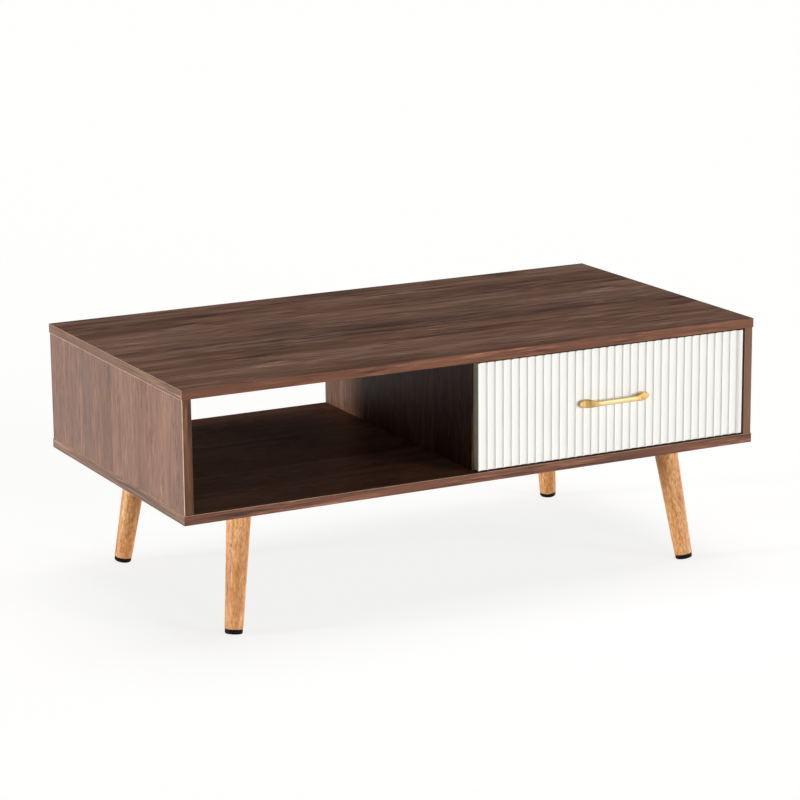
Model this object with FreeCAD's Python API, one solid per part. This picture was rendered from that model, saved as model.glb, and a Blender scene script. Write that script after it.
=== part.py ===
import FreeCAD, Part
import math
import os
from collections import namedtuple
from FreeCAD import Vector

# A low table of walnut-faced board: an open compartment on the left, one drawer with a white fluted
# front on the right, and four splayed, tapered hardwood legs. All lengths are millimetres.
# +X runs along the table, the drawer opens towards -Y and +Z is up. The origin is on the floor,
# under the middle of the table and its handle together.

# Table and its boards
table_length = 1000.0
table_depth = 530.0
table_height = 400.0
case_height = 205.0
board_thickness = 15.0
board_overhang = 1.0

# Play in round bores, room past the end of a blind bore, and how far a cut runs past a face
bore_play = 0.05
bore_end_room = 0.5
cut_overrun = 2.0

# Board that is left standing behind a dowel, a cam, a cam bolt's thread and a screw's tip
dowel_floor = 5.0
cam_floor = 3.0
thread_floor = 4.0
screw_floor = 2.2

# Dowels and cam fittings between the uprights and the top and bottom panels
dowel_radius = 4.0
dowel_length = 30.0
dowel_place_shares = (0.26, 0.74)
cam_place_shares = (0.12, 0.88)
case_cam_radius = 7.5
case_cam_from_edge = 24.0
cam_bolt_thread_radius = 3.0
cam_bolt_shank_radius = 2.4
cam_bolt_neck_radius = 1.6
cam_bolt_head_radius = 2.6
cam_bolt_head_length = 3.0
cam_slot_width = 1.6
cam_slot_depth = 1.4

# Wood screws with countersunk heads
screw_radius = 1.75
screw_head_radius = 3.4
screw_slot_width = 0.9
screw_slot_depth = 0.6

# Legs, leaning out along the diagonal, on angled steel plates
leg_inset_along = 121.0
leg_inset_across = 72.0
leg_lean_degrees = 10.5
leg_turn_degrees = 45.0
leg_top_radius = 19.0
leg_foot_radius = 14.2
leg_edge_round = 0.8
leg_top_room = 0.3
leg_plate_side = 64.0
leg_plate_thickness = 2.0
leg_plate_hub_radius = 11.0
leg_plate_screw_inset = 9.0
leg_bolt_radius = 4.0
leg_bolt_in_leg = 35.0
leg_bolt_past_plate = 4.0
leg_bolt_room = 1.0

# Black pads nailed under the legs, with a small flat where they meet the floor
pad_set_in = 0.5
pad_thickness = 7.8
pad_round = 2.5
pad_floor_flat = 0.6
pad_recess_depth = 2.5
pad_recess_play = 0.5
nail_radius = 1.2
nail_head_radius = 3.2
nail_head_thickness = 0.8
nail_in_leg = 16.0

# Fluted drawer front
front_recess = 1.0
front_gap = 2.5
front_side_gap = 3.0
front_reveal = 2.0
front_core = 13.5
flute_pitch = 14.4
flute_ridge = 1.0
flute_first_ridge = 16.5
flute_wall_radius = 6.0
flute_wall_degrees = 48.0
flute_floor_degrees = 12.0

# Bow handle and its screws
handle_hole_spacing = 96.0
handle_bend_inset = 17.0
handle_foot_overhang = 16.0
handle_bar_height = 8.0
handle_foot_height = 13.0
handle_foot_round = 12.5
handle_thickness = 4.5
handle_reach = 16.0
handle_post_radius = 3.8
handle_screw_radius = 2.0
handle_screw_in_post = 6.0
handle_screw_head_radius = 3.9
handle_screw_head_height = 2.4

# Drawer box
drawer_side_thickness = 12.0
drawer_lift = 26.0
drawer_head_room = 29.0
drawer_rear_gap = 27.3
drawer_bottom_thickness = 3.0
drawer_groove_depth = 5.0
drawer_groove_lift = 9.0
drawer_groove_play = 0.2
drawer_cam_radius = 6.0
drawer_cam_from_edge = 22.0
drawer_cam_place_shares = (0.25, 0.82)
drawer_back_screw_length = 38.0
drawer_back_screw_head_depth = 2.4
drawer_back_screw_shares = (0.24, 0.82)
drawer_bottom_screw_length = 14.0
drawer_bottom_screw_head_height = 1.8
drawer_bottom_screw_shares = (0.12, 0.5, 0.88)

# Ball-bearing slides: three nested channels, with two cages of balls between them
slide_space = 12.7
slide_length = 400.0
slide_height = 45.5
slide_sheet = 1.2
slide_lip = 2.0
slide_outer_reach = 9.6
slide_middle_reach = 10.4
slide_set_back = 1.0
slide_screw_shares = (0.09, 0.5, 0.91)
divider_set_back = 2.0
ball_radius = 2.0
ball_play = 0.1
cage_sheet = 0.5
cage_play = 0.3
cage_length = 120.0
cage_ball_count = 8

# Planes that the pieces share
UP = Vector(0, 0, 1)
DOWN = Vector(0, 0, -1)
LEFT = Vector(-1, 0, 0)
RIGHT = Vector(1, 0, 0)
FRONT = Vector(0, -1, 0)
BACK = Vector(0, 1, 0)
handle_overhang = handle_reach - front_recess
case_front = (handle_overhang - table_depth) / 2
case_rear = case_front + table_depth
case_bottom = table_height - case_height
bay_floor = case_bottom + board_thickness
bay_ceiling = table_height - board_thickness
upright_front = case_front + board_overhang
upright_rear = case_rear - board_overhang
side_outside = table_length / 2 - board_overhang
side_inside = side_outside - board_thickness
bay_left = board_thickness / 2
bay_right = side_inside
front_face = case_front + front_recess
flute_floor = math.radians(flute_floor_degrees)
flute_wall = math.radians(flute_wall_degrees)
flute_chord = flute_pitch - flute_ridge
flute_wall_run = flute_wall_radius * (math.sin(flute_wall) - math.sin(flute_floor))
flute_wall_rise = flute_wall_radius * (math.cos(flute_floor) - math.cos(flute_wall))
flute_floor_run = flute_chord / 2 - flute_wall_run
flute_floor_radius = flute_floor_run / math.sin(flute_floor)
flute_floor_rise = flute_floor_radius * (1 - math.cos(flute_floor))
flute_depth = flute_floor_rise + flute_wall_rise
front_back = front_face + flute_depth + front_core
divider_front = front_back + divider_set_back

pieces = {}


def block(along, across, up):
    """Box from its ranges along X, Y and Z."""
    low = Vector(along[0], across[0], up[0])
    return Part.makeBox(along[1] - along[0], across[1] - across[0], up[1] - up[0], low)


def slab(centre, first, second, third):
    """Box about a centre; each side is given as a unit vector along X, Y or Z and a length."""
    size = Vector(0, 0, 0)
    for direction, length in (first, second, third):
        size += Vector(abs(direction.x), abs(direction.y), abs(direction.z)) * length
    return Part.makeBox(size.x, size.y, size.z, centre - size / 2)


def rod(radius, start, direction, length):
    """Round bar from start along direction."""
    return Part.makeCylinder(radius, length, start, direction)


def cut_away(solid, cutters):
    """The one solid that is left of a piece after all its cuts."""
    return solid.cut(cutters).Solids[0]


def joined(shapes):
    """One solid out of shapes that overlap or share a face."""
    return shapes[0].fuse(shapes[1:]).removeSplitter().Solids[0]


def countersunk_screw(head, direction, head_depth, length):
    """Wood screw driven along direction, with the face of its head at head and a cross recess."""
    cone = Part.makeCone(screw_head_radius, screw_radius, head_depth, head, direction)
    screw = joined([cone, rod(screw_radius, head, direction, length)])
    recess = cross_recess(head, direction, screw_head_radius, screw_slot_width, screw_slot_depth)
    return cut_away(screw, recess)


def cross_recess(face, direction, reach, width, depth):
    """Two crossed slots, cut into a face that looks against direction."""
    side = UP if abs(direction.z) == 0 else RIGHT
    other = direction.cross(side)
    centre = face + direction * (depth - cut_overrun) / 2
    thickness = (direction, depth + cut_overrun)
    return [slab(centre, thickness, (side, reach), (other, width)),
            slab(centre, thickness, (side, width), (other, reach))]


def screw_bore(head, direction, head_depth, length):
    """Cuts for a countersunk screw: its cone, its pilot bore and the way in."""
    wide = screw_head_radius + bore_play
    narrow = screw_radius + bore_play
    return [Part.makeCone(wide, narrow, head_depth, head, direction),
            rod(narrow, head, direction, length + bore_end_room),
            rod(wide, head, -direction, cut_overrun)]


# Cam fittings: a bolt that is screwed into one board, and a cam that grips its head inside the other
CamSize = namedtuple("CamSize", "board radius depth from_edge thread_length")
case_cam = CamSize(board_thickness, case_cam_radius, board_thickness - cam_floor, case_cam_from_edge,
                   board_thickness - thread_floor)
drawer_cam = CamSize(drawer_side_thickness, drawer_cam_radius, drawer_side_thickness - cam_floor,
                     drawer_cam_from_edge, front_core - thread_floor)


def cam_bolt(seam, outward, size):
    """Bolt across a seam: thread along outward, shank, neck and head the other way."""
    head_start = seam - outward * (size.from_edge - cam_bolt_head_length / 2)
    return joined([rod(cam_bolt_thread_radius, seam, outward, size.thread_length),
                   rod(cam_bolt_shank_radius, seam, -outward, size.from_edge - size.radius),
                   rod(cam_bolt_neck_radius, seam, -outward, size.from_edge),
                   rod(cam_bolt_head_radius, head_start, -outward, cam_bolt_head_length)])


def cam_nut(seam, outward, cam_face, size):
    """Cam flush with the board's face, with the channel for the bolt and a cross recess."""
    centre = seam - outward * size.from_edge
    face = centre + cam_face * size.board / 2
    channel_start = centre - outward * cam_bolt_head_length
    channel_length = cam_bolt_head_length + size.radius + cut_overrun
    channel = rod(cam_bolt_head_radius + bore_play, channel_start, outward, channel_length)
    recess = cross_recess(face, -cam_face, size.radius, cam_slot_width, cam_slot_depth)
    return cut_away(rod(size.radius, face, -cam_face, size.depth), [channel] + recess)


def cam_bores(seam, outward, cam_face, size):
    """Cuts in the board that holds the cam, and in the board that takes the bolt's thread."""
    face = seam - outward * size.from_edge + cam_face * size.board / 2
    cam_bore = rod(size.radius + bore_play, face + cam_face * cut_overrun, -cam_face,
                   size.depth + cut_overrun + bore_play)
    shank_bore = rod(cam_bolt_head_radius + bore_play, seam + outward * cut_overrun, -outward,
                     size.from_edge + cut_overrun)
    thread_bore = rod(cam_bolt_thread_radius + bore_play, seam - outward * cut_overrun, outward,
                      size.thread_length + cut_overrun + bore_end_room)
    return [cam_bore, shank_bore], [thread_bore]


def dowel(seam, outward):
    """Dowel across a seam, and the bores for it in the upright and in the panel."""
    dowel_in_panel = board_thickness - dowel_floor
    pin = rod(dowel_radius, seam + outward * dowel_in_panel, -outward, dowel_length)
    upright_depth = dowel_length - dowel_in_panel + bore_end_room
    upright_bore = rod(dowel_radius + bore_play, seam + outward * cut_overrun, -outward,
                       upright_depth + cut_overrun)
    panel_bore = rod(dowel_radius + bore_play, seam - outward * cut_overrun, outward,
                     dowel_in_panel + cut_overrun + bore_end_room)
    return pin, upright_bore, panel_bore


# Case: four uprights between the bottom and the top panel
side_depth = (upright_front, upright_rear)
uprights = {
    "left_side_panel": ((-side_outside, -side_inside), side_depth, RIGHT),
    "divider_panel": ((-board_thickness / 2, bay_left), (divider_front, upright_rear), RIGHT),
    "right_side_panel": ((side_inside, side_outside), side_depth, LEFT),
    "drawer_bay_back_panel": ((bay_left, bay_right), (upright_rear - board_thickness, upright_rear), FRONT),
}
upright_cuts = {name: [] for name in uprights}
top_cuts = []
bottom_cuts = []
pieces["case_dowels"] = []
pieces["case_cam_bolts"] = []
pieces["case_cam_nuts"] = []


def along_upright(along, across, cam_face, share, level):
    """Point on the middle plane of an upright, at a share of its run and at the level of a seam."""
    middle_x = (along[0] + along[1]) / 2
    middle_y = (across[0] + across[1]) / 2
    if cam_face.x:
        return Vector(middle_x, across[0] + share * (across[1] - across[0]), level)
    return Vector(along[0] + share * (along[1] - along[0]), middle_y, level)


for name, (along, across, cam_face) in uprights.items():
    for level, outward, panel_cuts in ((bay_ceiling, UP, top_cuts), (bay_floor, DOWN, bottom_cuts)):
        for share in cam_place_shares:
            seam = along_upright(along, across, cam_face, share, level)
            pieces["case_cam_bolts"].append(cam_bolt(seam, outward, case_cam))
            pieces["case_cam_nuts"].append(cam_nut(seam, outward, cam_face, case_cam))
            edge_cuts, face_cuts = cam_bores(seam, outward, cam_face, case_cam)
            upright_cuts[name] += edge_cuts
            panel_cuts += face_cuts
        for share in dowel_place_shares:
            seam = along_upright(along, across, cam_face, share, level)
            pin, upright_bore, panel_bore = dowel(seam, outward)
            pieces["case_dowels"].append(pin)
            upright_cuts[name].append(upright_bore)
            panel_cuts.append(panel_bore)


# Legs: each hangs on an angled plate under the bottom panel and ends in a nailed pad
lean = math.radians(leg_lean_degrees)
turn = math.radians(leg_turn_degrees)
case_middle = (case_front + case_rear) / 2
pad_radius = leg_foot_radius - pad_set_in
pad_rim = pad_radius - pad_round
leg_start = (leg_plate_thickness + leg_top_radius * math.sin(lean) + leg_top_room) / math.cos(lean)
pad_end = pad_round + (case_bottom + pad_floor_flat - pad_rim * math.sin(lean) - pad_round) / math.cos(lean)
leg_end = pad_end - pad_thickness
leg_plate_screw_length = leg_plate_thickness + board_thickness - screw_floor
pieces["leg_bolts"] = []
pieces["leg_plate_screws"] = []
pieces["foot_nails"] = []


def rim_edges(solid, radius):
    """Round edges of a solid that have the given radius."""
    return [edge for edge in solid.Edges
            if isinstance(edge.Curve, Part.Circle) and math.isclose(edge.Curve.Radius, radius, rel_tol=1e-6)]


def add_leg(corner, side_x, side_y):
    """One leg with its plate, bolt, screws, pad and nail; the bottom panel gets their bores."""
    outward = Vector(side_x * math.cos(turn), side_y * math.sin(turn), 0)
    axis = outward * math.sin(lean) + DOWN * math.cos(lean)
    head = Vector(side_x * (table_length / 2 - leg_inset_along),
                  case_middle + side_y * (table_depth / 2 - leg_inset_across), case_bottom)
    leg_top = head + axis * leg_start
    foot = head + axis * leg_end
    bolt_top = head - axis * leg_bolt_past_plate
    bolt_length = leg_bolt_past_plate + leg_start + leg_bolt_in_leg
    bolt_bore = rod(leg_bolt_radius + bore_play, bolt_top, axis, bolt_length + bore_end_room)
    pieces["leg_bolts"].append(rod(leg_bolt_radius, bolt_top, axis, bolt_length))
    bottom_cuts.append(rod(leg_bolt_radius + leg_bolt_room, head + axis * cut_overrun, -axis,
                           cut_overrun + leg_bolt_past_plate + leg_bolt_room))

    half = leg_plate_side / 2
    plate_low = case_bottom - leg_plate_thickness
    plate = block((head.x - half, head.x + half), (head.y - half, head.y + half), (plate_low, case_bottom))
    hub_start = head - axis * leg_plate_hub_radius
    hub = rod(leg_plate_hub_radius, hub_start, axis, leg_plate_hub_radius + leg_start)
    above = block((head.x - half, head.x + half), (head.y - half, head.y + half),
                  (case_bottom, case_bottom + leg_plate_hub_radius + cut_overrun))
    plate_cuts = [bolt_bore]
    reach = half - leg_plate_screw_inset
    for place_x, place_y in ((-reach, -reach), (-reach, reach), (reach, -reach), (reach, reach)):
        screw_head = Vector(head.x + place_x, head.y + place_y, plate_low)
        pieces["leg_plate_screws"].append(
            countersunk_screw(screw_head, UP, leg_plate_thickness, leg_plate_screw_length))
        bore = screw_bore(screw_head, UP, leg_plate_thickness, leg_plate_screw_length)
        plate_cuts += bore
        bottom_cuts.extend(bore[:2])
    pieces["leg_plate_" + corner] = [cut_away(joined([plate, hub.cut(above)]), plate_cuts)]

    leg = Part.makeCone(leg_top_radius, leg_foot_radius, leg_end - leg_start, leg_top, axis)
    leg = leg.makeFillet(leg_edge_round, rim_edges(leg, leg_top_radius))
    nail_bore = rod(nail_radius + bore_play, foot - axis * (nail_in_leg + bore_end_room), axis,
                    nail_in_leg + bore_end_room + pad_thickness)
    pieces["leg_" + corner] = [cut_away(leg, [bolt_bore, nail_bore])]

    pad = rod(pad_radius, foot, axis, pad_thickness)
    lower_rim = max(rim_edges(pad, pad_radius), key=lambda edge: edge.CenterOfMass.dot(axis))
    pad = pad.makeFillet(pad_round, [lower_rim])
    nail_seat = foot + axis * (pad_thickness - pad_recess_depth)
    recess = rod(nail_head_radius + pad_recess_play, nail_seat, axis, pad_recess_depth + cut_overrun)
    below = block((foot.x - leg_plate_side, foot.x + leg_plate_side),
                  (foot.y - leg_plate_side, foot.y + leg_plate_side), (-leg_plate_side, 0))
    pieces["foot_pad_" + corner] = [cut_away(pad, [nail_bore, recess, below])]
    shaft_length = nail_in_leg + pad_thickness - pad_recess_depth
    pieces["foot_nails"].append(joined([rod(nail_radius, nail_seat, -axis, shaft_length),
                                        rod(nail_head_radius, nail_seat, axis, nail_head_thickness)]))


for corner, side_x, side_y in (("front_left", -1, -1), ("front_right", 1, -1),
                               ("rear_left", -1, 1), ("rear_right", 1, 1)):
    add_leg(corner, side_x, side_y)


# Drawer front: hollow flutes with shallow floors and steeper walls between narrow ridges, and a flat land
# at each end
front_left = bay_left - board_thickness + front_reveal
front_right = bay_right - front_side_gap
front_low = bay_floor + front_gap
front_high = bay_ceiling - front_gap
flute_room = front_right - front_left - flute_first_ridge - flute_pitch / 2
ridge_count = int(flute_room // flute_pitch) + 1


def flute_half(middle, side):
    """Half of a flute's hollow, from its middle to the ridge on the left (-1) or the right (1)."""
    def floor_point(angle):
        run = flute_floor_radius * math.sin(angle)
        rise = flute_floor_radius * (1 - math.cos(angle))
        return Vector(middle + side * run, front_face + flute_depth - rise, front_low)

    def wall_point(angle):
        run = flute_floor_run + flute_wall_radius * (math.sin(angle) - math.sin(flute_floor))
        rise = flute_floor_rise + flute_wall_radius * (math.cos(flute_floor) - math.cos(angle))
        return Vector(middle + side * run, front_face + flute_depth - rise, front_low)

    wall_middle = (flute_floor + flute_wall) / 2
    return [Part.Arc(floor_point(0), floor_point(flute_floor / 2), floor_point(flute_floor)).toShape(),
            Part.Arc(wall_point(flute_floor), wall_point(wall_middle), wall_point(flute_wall)).toShape()]


def fluted_board():
    """The front as one outline seen from above, pulled up to its full height."""
    first_ridge = front_left + flute_first_ridge
    edges = []
    for index in range(ridge_count):
        ridge = first_ridge + index * flute_pitch
        flute = ridge - flute_pitch / 2
        edges += flute_half(flute, -1) + flute_half(flute, 1)
        if index < ridge_count - 1:
            edges.append(Part.makeLine(Vector(ridge - flute_ridge / 2, front_face, front_low),
                                       Vector(ridge + flute_ridge / 2, front_face, front_low)))
    last_flute = first_ridge + (ridge_count - 1) * flute_pitch - flute_pitch / 2
    corners = [Vector(last_flute + flute_chord / 2, front_face, front_low),
               Vector(front_right, front_face, front_low), Vector(front_right, front_back, front_low),
               Vector(front_left, front_back, front_low), Vector(front_left, front_face, front_low),
               Vector(first_ridge - flute_pitch / 2 - flute_chord / 2, front_face, front_low)]
    edges += [Part.makeLine(start, end) for start, end in zip(corners, corners[1:])]
    outline = Part.Wire(Part.__sortEdges__(edges))
    return Part.Face(outline).extrude(UP * (front_high - front_low))


# Handle: a strap that rises from two solid, leaf-shaped feet in a long S to a straight bar. A post under each
# foot stands in a round seat that is milled as deep as the flutes.
handle_x = (front_left + front_right) / 2
handle_z = (front_low + front_high) / 2
handle_length = handle_hole_spacing + 2 * handle_foot_overhang
handle_bar_length = handle_hole_spacing - 2 * handle_bend_inset
strap_run = (handle_length - handle_bar_length) / 2
strap_rise = handle_reach - handle_thickness
strap_radius = (strap_run ** 2 + strap_rise ** 2) / (4 * strap_rise)
strap_angle = 2 * math.atan2(strap_rise, strap_run)
foot_bend = Vector(handle_length / 2, handle_thickness / 2 + strap_radius, 0)
bar_bend = Vector(handle_bar_length / 2, handle_reach - handle_thickness / 2 - strap_radius, 0)


def handle_point(along, out, up):
    """Point of the handle from its middle: along the bar, out from the flutes, and up."""
    return Vector(handle_x + along, front_face - out, handle_z + up)


def strap_fill(offset, low):
    """Solid between the drawer front and one side of the strap, offset from the strap's middle line."""
    def bend_points(bend, radius, start, end):
        for angle in (start, (start + end) / 2, end):
            yield bend.x + radius * math.sin(angle), bend.y + radius * math.cos(angle)

    half = list(bend_points(bar_bend, strap_radius + offset, 0, strap_angle))
    half += list(bend_points(foot_bend, strap_radius - offset, math.pi + strap_angle, math.pi))
    right = [handle_point(along, out, low) for along, out in half]
    left = [handle_point(-along, out, low) for along, out in half]
    edges = [Part.makeLine(left[0], right[0])]
    for side in (right, left):
        edges += [Part.Arc(*side[:3]).toShape(), Part.Arc(*side[3:]).toShape()]
    corners = [right[-1]]
    if half[-1][1] > 0:
        corners += [handle_point(half[-1][0], 0, low), handle_point(-half[-1][0], 0, low)]
    corners.append(left[-1])
    edges += [Part.makeLine(start, end) for start, end in zip(corners, corners[1:])]
    return Part.Face(Part.Wire(Part.__sortEdges__(edges))).extrude(UP * handle_foot_height)


def handle_outline():
    """The bar and its leaf-shaped feet as seen from the front, pulled out from the seats' floor."""
    bar_end = handle_bar_length / 2
    leaf_middle = handle_length / 2 - handle_foot_round
    bar_half = handle_bar_height / 2
    foot_half = handle_foot_height / 2
    flare_run = leaf_middle - bar_end
    flare_rise = foot_half - bar_half
    flare_radius = (flare_run ** 2 + flare_rise ** 2) / (4 * flare_rise)
    quarter = math.atan2(flare_rise, flare_run)
    quarter_run = flare_radius * math.sin(quarter)
    quarter_rise = flare_radius * (1 - math.cos(quarter))
    flare = [(bar_end, bar_half), (bar_end + quarter_run, bar_half + quarter_rise),
             (bar_end + flare_run / 2, bar_half + flare_rise / 2),
             (leaf_middle - quarter_run, foot_half - quarter_rise), (leaf_middle, foot_half)]
    edges = []
    for end in (-1, 1):
        for up in (-1, 1):
            points = [handle_point(end * along, -flute_depth, up * half) for along, half in flare]
            edges += [Part.Arc(*points[:3]).toShape(), Part.Arc(*points[2:]).toShape()]
        tip = handle_point(end * handle_length / 2, -flute_depth, 0)
        widest = handle_point(end * leaf_middle, -flute_depth, foot_half)
        leaf = Part.Ellipse(tip, widest, handle_point(end * leaf_middle, -flute_depth, 0))
        edges.append(leaf.toShape(-math.pi / 2, math.pi / 2))
    for up in (-1, 1):
        edges.append(Part.makeLine(handle_point(-bar_end, -flute_depth, up * bar_half),
                                   handle_point(bar_end, -flute_depth, up * bar_half)))
    face = Part.Face(Part.Wire(Part.__sortEdges__(edges)))
    return face.extrude(FRONT * (flute_depth + handle_reach + cut_overrun))


def bow_handle():
    """The handle with the blind bores for its two screws."""
    low = -handle_foot_height / 2
    outside = strap_fill(handle_thickness / 2, low)
    inside = strap_fill(-handle_thickness / 2, low)
    parts = [outside.cut(inside)]
    bores = []
    for end in (-1, 1):
        hole = end * handle_hole_spacing / 2
        foot_start = handle_point(hole - end * handle_post_radius, 0, low)
        foot_tip = handle_point(end * handle_length / 2, handle_reach, -low)
        foot = block(tuple(sorted((foot_start.x, foot_tip.x))), (foot_tip.y, foot_start.y),
                     (foot_start.z, foot_tip.z))
        parts.append(foot.common(outside))
        post_seat = handle_point(hole, -flute_depth, 0)
        parts.append(rod(handle_post_radius, post_seat, FRONT, flute_depth + handle_thickness))
        bores.append(rod(handle_screw_radius + bore_play, post_seat + BACK * cut_overrun, FRONT,
                         cut_overrun + flute_depth + handle_screw_in_post + bore_end_room))
    return cut_away(joined(parts).common(handle_outline()), bores)


pieces["drawer_handle"] = [bow_handle()]
pieces["handle_screws"] = []
front_cuts = []
for end in (-1, 1):
    behind = Vector(handle_x + end * handle_hole_spacing / 2, front_back, handle_z)
    shank_length = front_back - front_face + handle_screw_in_post
    shank = rod(handle_screw_radius, behind, FRONT, shank_length)
    head = rod(handle_screw_head_radius, behind, BACK, handle_screw_head_height)
    recess = cross_recess(behind + BACK * handle_screw_head_height, FRONT, handle_screw_head_radius,
                          screw_slot_width, screw_slot_depth)
    pieces["handle_screws"].append(cut_away(joined([shank, head]), recess))
    front_cuts.append(rod(handle_screw_radius + bore_play, behind + BACK * cut_overrun, FRONT,
                          shank_length + cut_overrun))
    front_cuts.append(rod(handle_post_radius + bore_play, behind + FRONT * front_core, FRONT,
                          flute_depth + cut_overrun))


# Drawer box: two sides and a back, with a thin bottom in grooves
drawer_low = bay_floor + drawer_lift
drawer_high = bay_ceiling - drawer_head_room
drawer_side_height = drawer_high - drawer_low
drawer_rear = upright_rear - board_thickness - drawer_rear_gap
drawer_left = bay_left + slide_space
drawer_right = bay_right - slide_space
inner_left = drawer_left + drawer_side_thickness
inner_right = drawer_right - drawer_side_thickness
groove_floor = drawer_low + drawer_groove_lift
groove_roof = groove_floor + drawer_bottom_thickness + drawer_groove_play
groove_cut = block((inner_left - drawer_groove_depth, inner_right + drawer_groove_depth),
                   (front_back - drawer_groove_depth, drawer_rear + cut_overrun), (groove_floor, groove_roof))
front_cuts.append(groove_cut)
slide_level = (drawer_low + drawer_high) / 2
slide_front = divider_front + slide_set_back
slide_rear = slide_front + slide_length
slide_outer_screw_length = slide_sheet + board_thickness - screw_floor
slide_inner_screw_length = slide_sheet + drawer_side_thickness - screw_floor
back_front = drawer_rear - drawer_side_thickness
back_middle = (back_front + drawer_rear) / 2
back_cuts = []
bottom_board_cuts = []
for group in ("drawer_cam_bolts", "drawer_cam_nuts", "drawer_back_screws", "drawer_bottom_screws",
              "slide_outer_screws", "slide_inner_screws"):
    pieces[group] = []


def slide_range(hand, near, far):
    """X range of a slice of one slide, measured from the case wall towards the drawer."""
    wall = bay_left if hand > 0 else bay_right
    return tuple(sorted((wall + hand * near, wall + hand * far)))


def slide_places():
    """Y of the screws along a slide."""
    return [slide_front + share * slide_length for share in slide_screw_shares]


def add_drawer_side(name, hand):
    """One side of the drawer, its cams at the front, its screws into the back and its slide's screws."""
    toward_box = RIGHT * hand
    outer = drawer_left if hand > 0 else drawer_right
    inner = outer + hand * drawer_side_thickness
    middle = (outer + inner) / 2
    cuts = [groove_cut]
    for share in drawer_cam_place_shares:
        seam = Vector(middle, front_back, drawer_low + share * drawer_side_height)
        pieces["drawer_cam_bolts"].append(cam_bolt(seam, FRONT, drawer_cam))
        pieces["drawer_cam_nuts"].append(cam_nut(seam, FRONT, toward_box, drawer_cam))
        edge_cuts, face_cuts = cam_bores(seam, FRONT, toward_box, drawer_cam)
        cuts += edge_cuts
        front_cuts.extend(face_cuts)
    for share in drawer_back_screw_shares:
        head = Vector(outer, back_middle, drawer_low + share * drawer_side_height)
        pieces["drawer_back_screws"].append(
            countersunk_screw(head, toward_box, drawer_back_screw_head_depth, drawer_back_screw_length))
        bore = screw_bore(head, toward_box, drawer_back_screw_head_depth, drawer_back_screw_length)
        cuts += bore
        back_cuts.append(bore[1])
    web = outer - hand * slide_sheet
    for place in slide_places():
        head = Vector(web, place, slide_level)
        pieces["slide_inner_screws"].append(
            countersunk_screw(head, toward_box, slide_sheet, slide_inner_screw_length))
        cuts += screw_bore(head, toward_box, slide_sheet, slide_inner_screw_length)[:2]
    board = block(tuple(sorted((outer, inner))), (front_back, drawer_rear), (drawer_low, drawer_high))
    pieces[name] = [cut_away(board, cuts)]


add_drawer_side("drawer_left_side", 1)
add_drawer_side("drawer_right_side", -1)

bottom_left = inner_left - drawer_groove_depth + drawer_groove_play
bottom_right = inner_right + drawer_groove_depth - drawer_groove_play
bottom_front = front_back - drawer_groove_depth + drawer_groove_play
bottom_top = groove_floor + drawer_bottom_thickness
for share in drawer_bottom_screw_shares:
    seat = Vector(inner_left + share * (inner_right - inner_left), back_middle, groove_floor)
    head = rod(screw_head_radius, seat, DOWN, drawer_bottom_screw_head_height)
    recess = cross_recess(seat + DOWN * drawer_bottom_screw_head_height, UP, screw_head_radius,
                          screw_slot_width, screw_slot_depth)
    pieces["drawer_bottom_screws"].append(
        cut_away(joined([rod(screw_radius, seat, UP, drawer_bottom_screw_length), head]), recess))
    bore = rod(screw_radius + bore_play, seat + DOWN * cut_overrun, UP,
               drawer_bottom_screw_length + cut_overrun + bore_end_room)
    back_cuts.append(bore)
    bottom_board_cuts.append(bore)
back_board = block((inner_left, inner_right), (back_front, drawer_rear), (bottom_top, drawer_high))
pieces["drawer_back"] = [cut_away(back_board, back_cuts)]
bottom_board = block((bottom_left, bottom_right), (bottom_front, drawer_rear), (groove_floor, bottom_top))
pieces["drawer_bottom"] = [cut_away(bottom_board, bottom_board_cuts)]
pieces["drawer_front"] = [cut_away(fluted_board(), front_cuts)]


# Slides: levels are measured up and down from the slide's middle, depths from the case wall
outer_race = slide_height / 2 - slide_sheet
outer_ball_level = outer_race - ball_play - ball_radius
middle_half = outer_ball_level - ball_radius - ball_play
middle_race = middle_half - slide_sheet
inner_ball_level = middle_race - ball_play - ball_radius
inner_half = inner_ball_level - ball_radius - ball_play
outer_cage_back = slide_sheet + cage_play
middle_back = outer_cage_back + cage_sheet + cage_play
inner_cage_back = middle_back + slide_sheet + cage_play
inner_edge = inner_cage_back + cage_sheet + cage_play
inner_web = slide_space - slide_sheet
outer_lip_back = slide_outer_reach - slide_sheet
outer_ball_depth = (outer_cage_back + cage_sheet + outer_lip_back) / 2
inner_ball_depth = (inner_cage_back + cage_sheet + slide_middle_reach) / 2
cage_middle = (slide_front + slide_rear) / 2
cage_ends = (cage_middle - cage_length / 2, cage_middle + cage_length / 2)
ball_pitch = cage_length / cage_ball_count
pieces["outer_slide_balls"] = []
pieces["inner_slide_balls"] = []


def slide_block(hand, near, far, half_height, ends):
    """Box of one slide: between two depths, as high above its middle as below, from end to end."""
    return block(slide_range(hand, near, far), ends, (slide_level - half_height, slide_level + half_height))


def add_cage(name, balls, hand, back, reach, ball_depth, ball_level):
    """Sheet cage with two rows of balls in its holes."""
    cage = slide_block(hand, back, reach, ball_level + cage_sheet / 2, cage_ends)
    hollow = slide_block(hand, back + cage_sheet, reach + cut_overrun, ball_level - cage_sheet / 2,
                         (cage_ends[0] - cut_overrun, cage_ends[1] + cut_overrun))
    cuts = [hollow]
    wall = bay_left if hand > 0 else bay_right
    for index in range(cage_ball_count):
        place = Vector(wall + hand * ball_depth, cage_ends[0] + (index + 1 / 2) * ball_pitch, slide_level)
        cuts.append(rod(ball_radius + ball_play, place - UP * slide_height / 2, UP, slide_height))
        for up in (-1, 1):
            pieces[balls].append(Part.makeSphere(ball_radius, place + UP * up * ball_level))
    pieces[name] = [cut_away(cage, cuts)]


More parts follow.
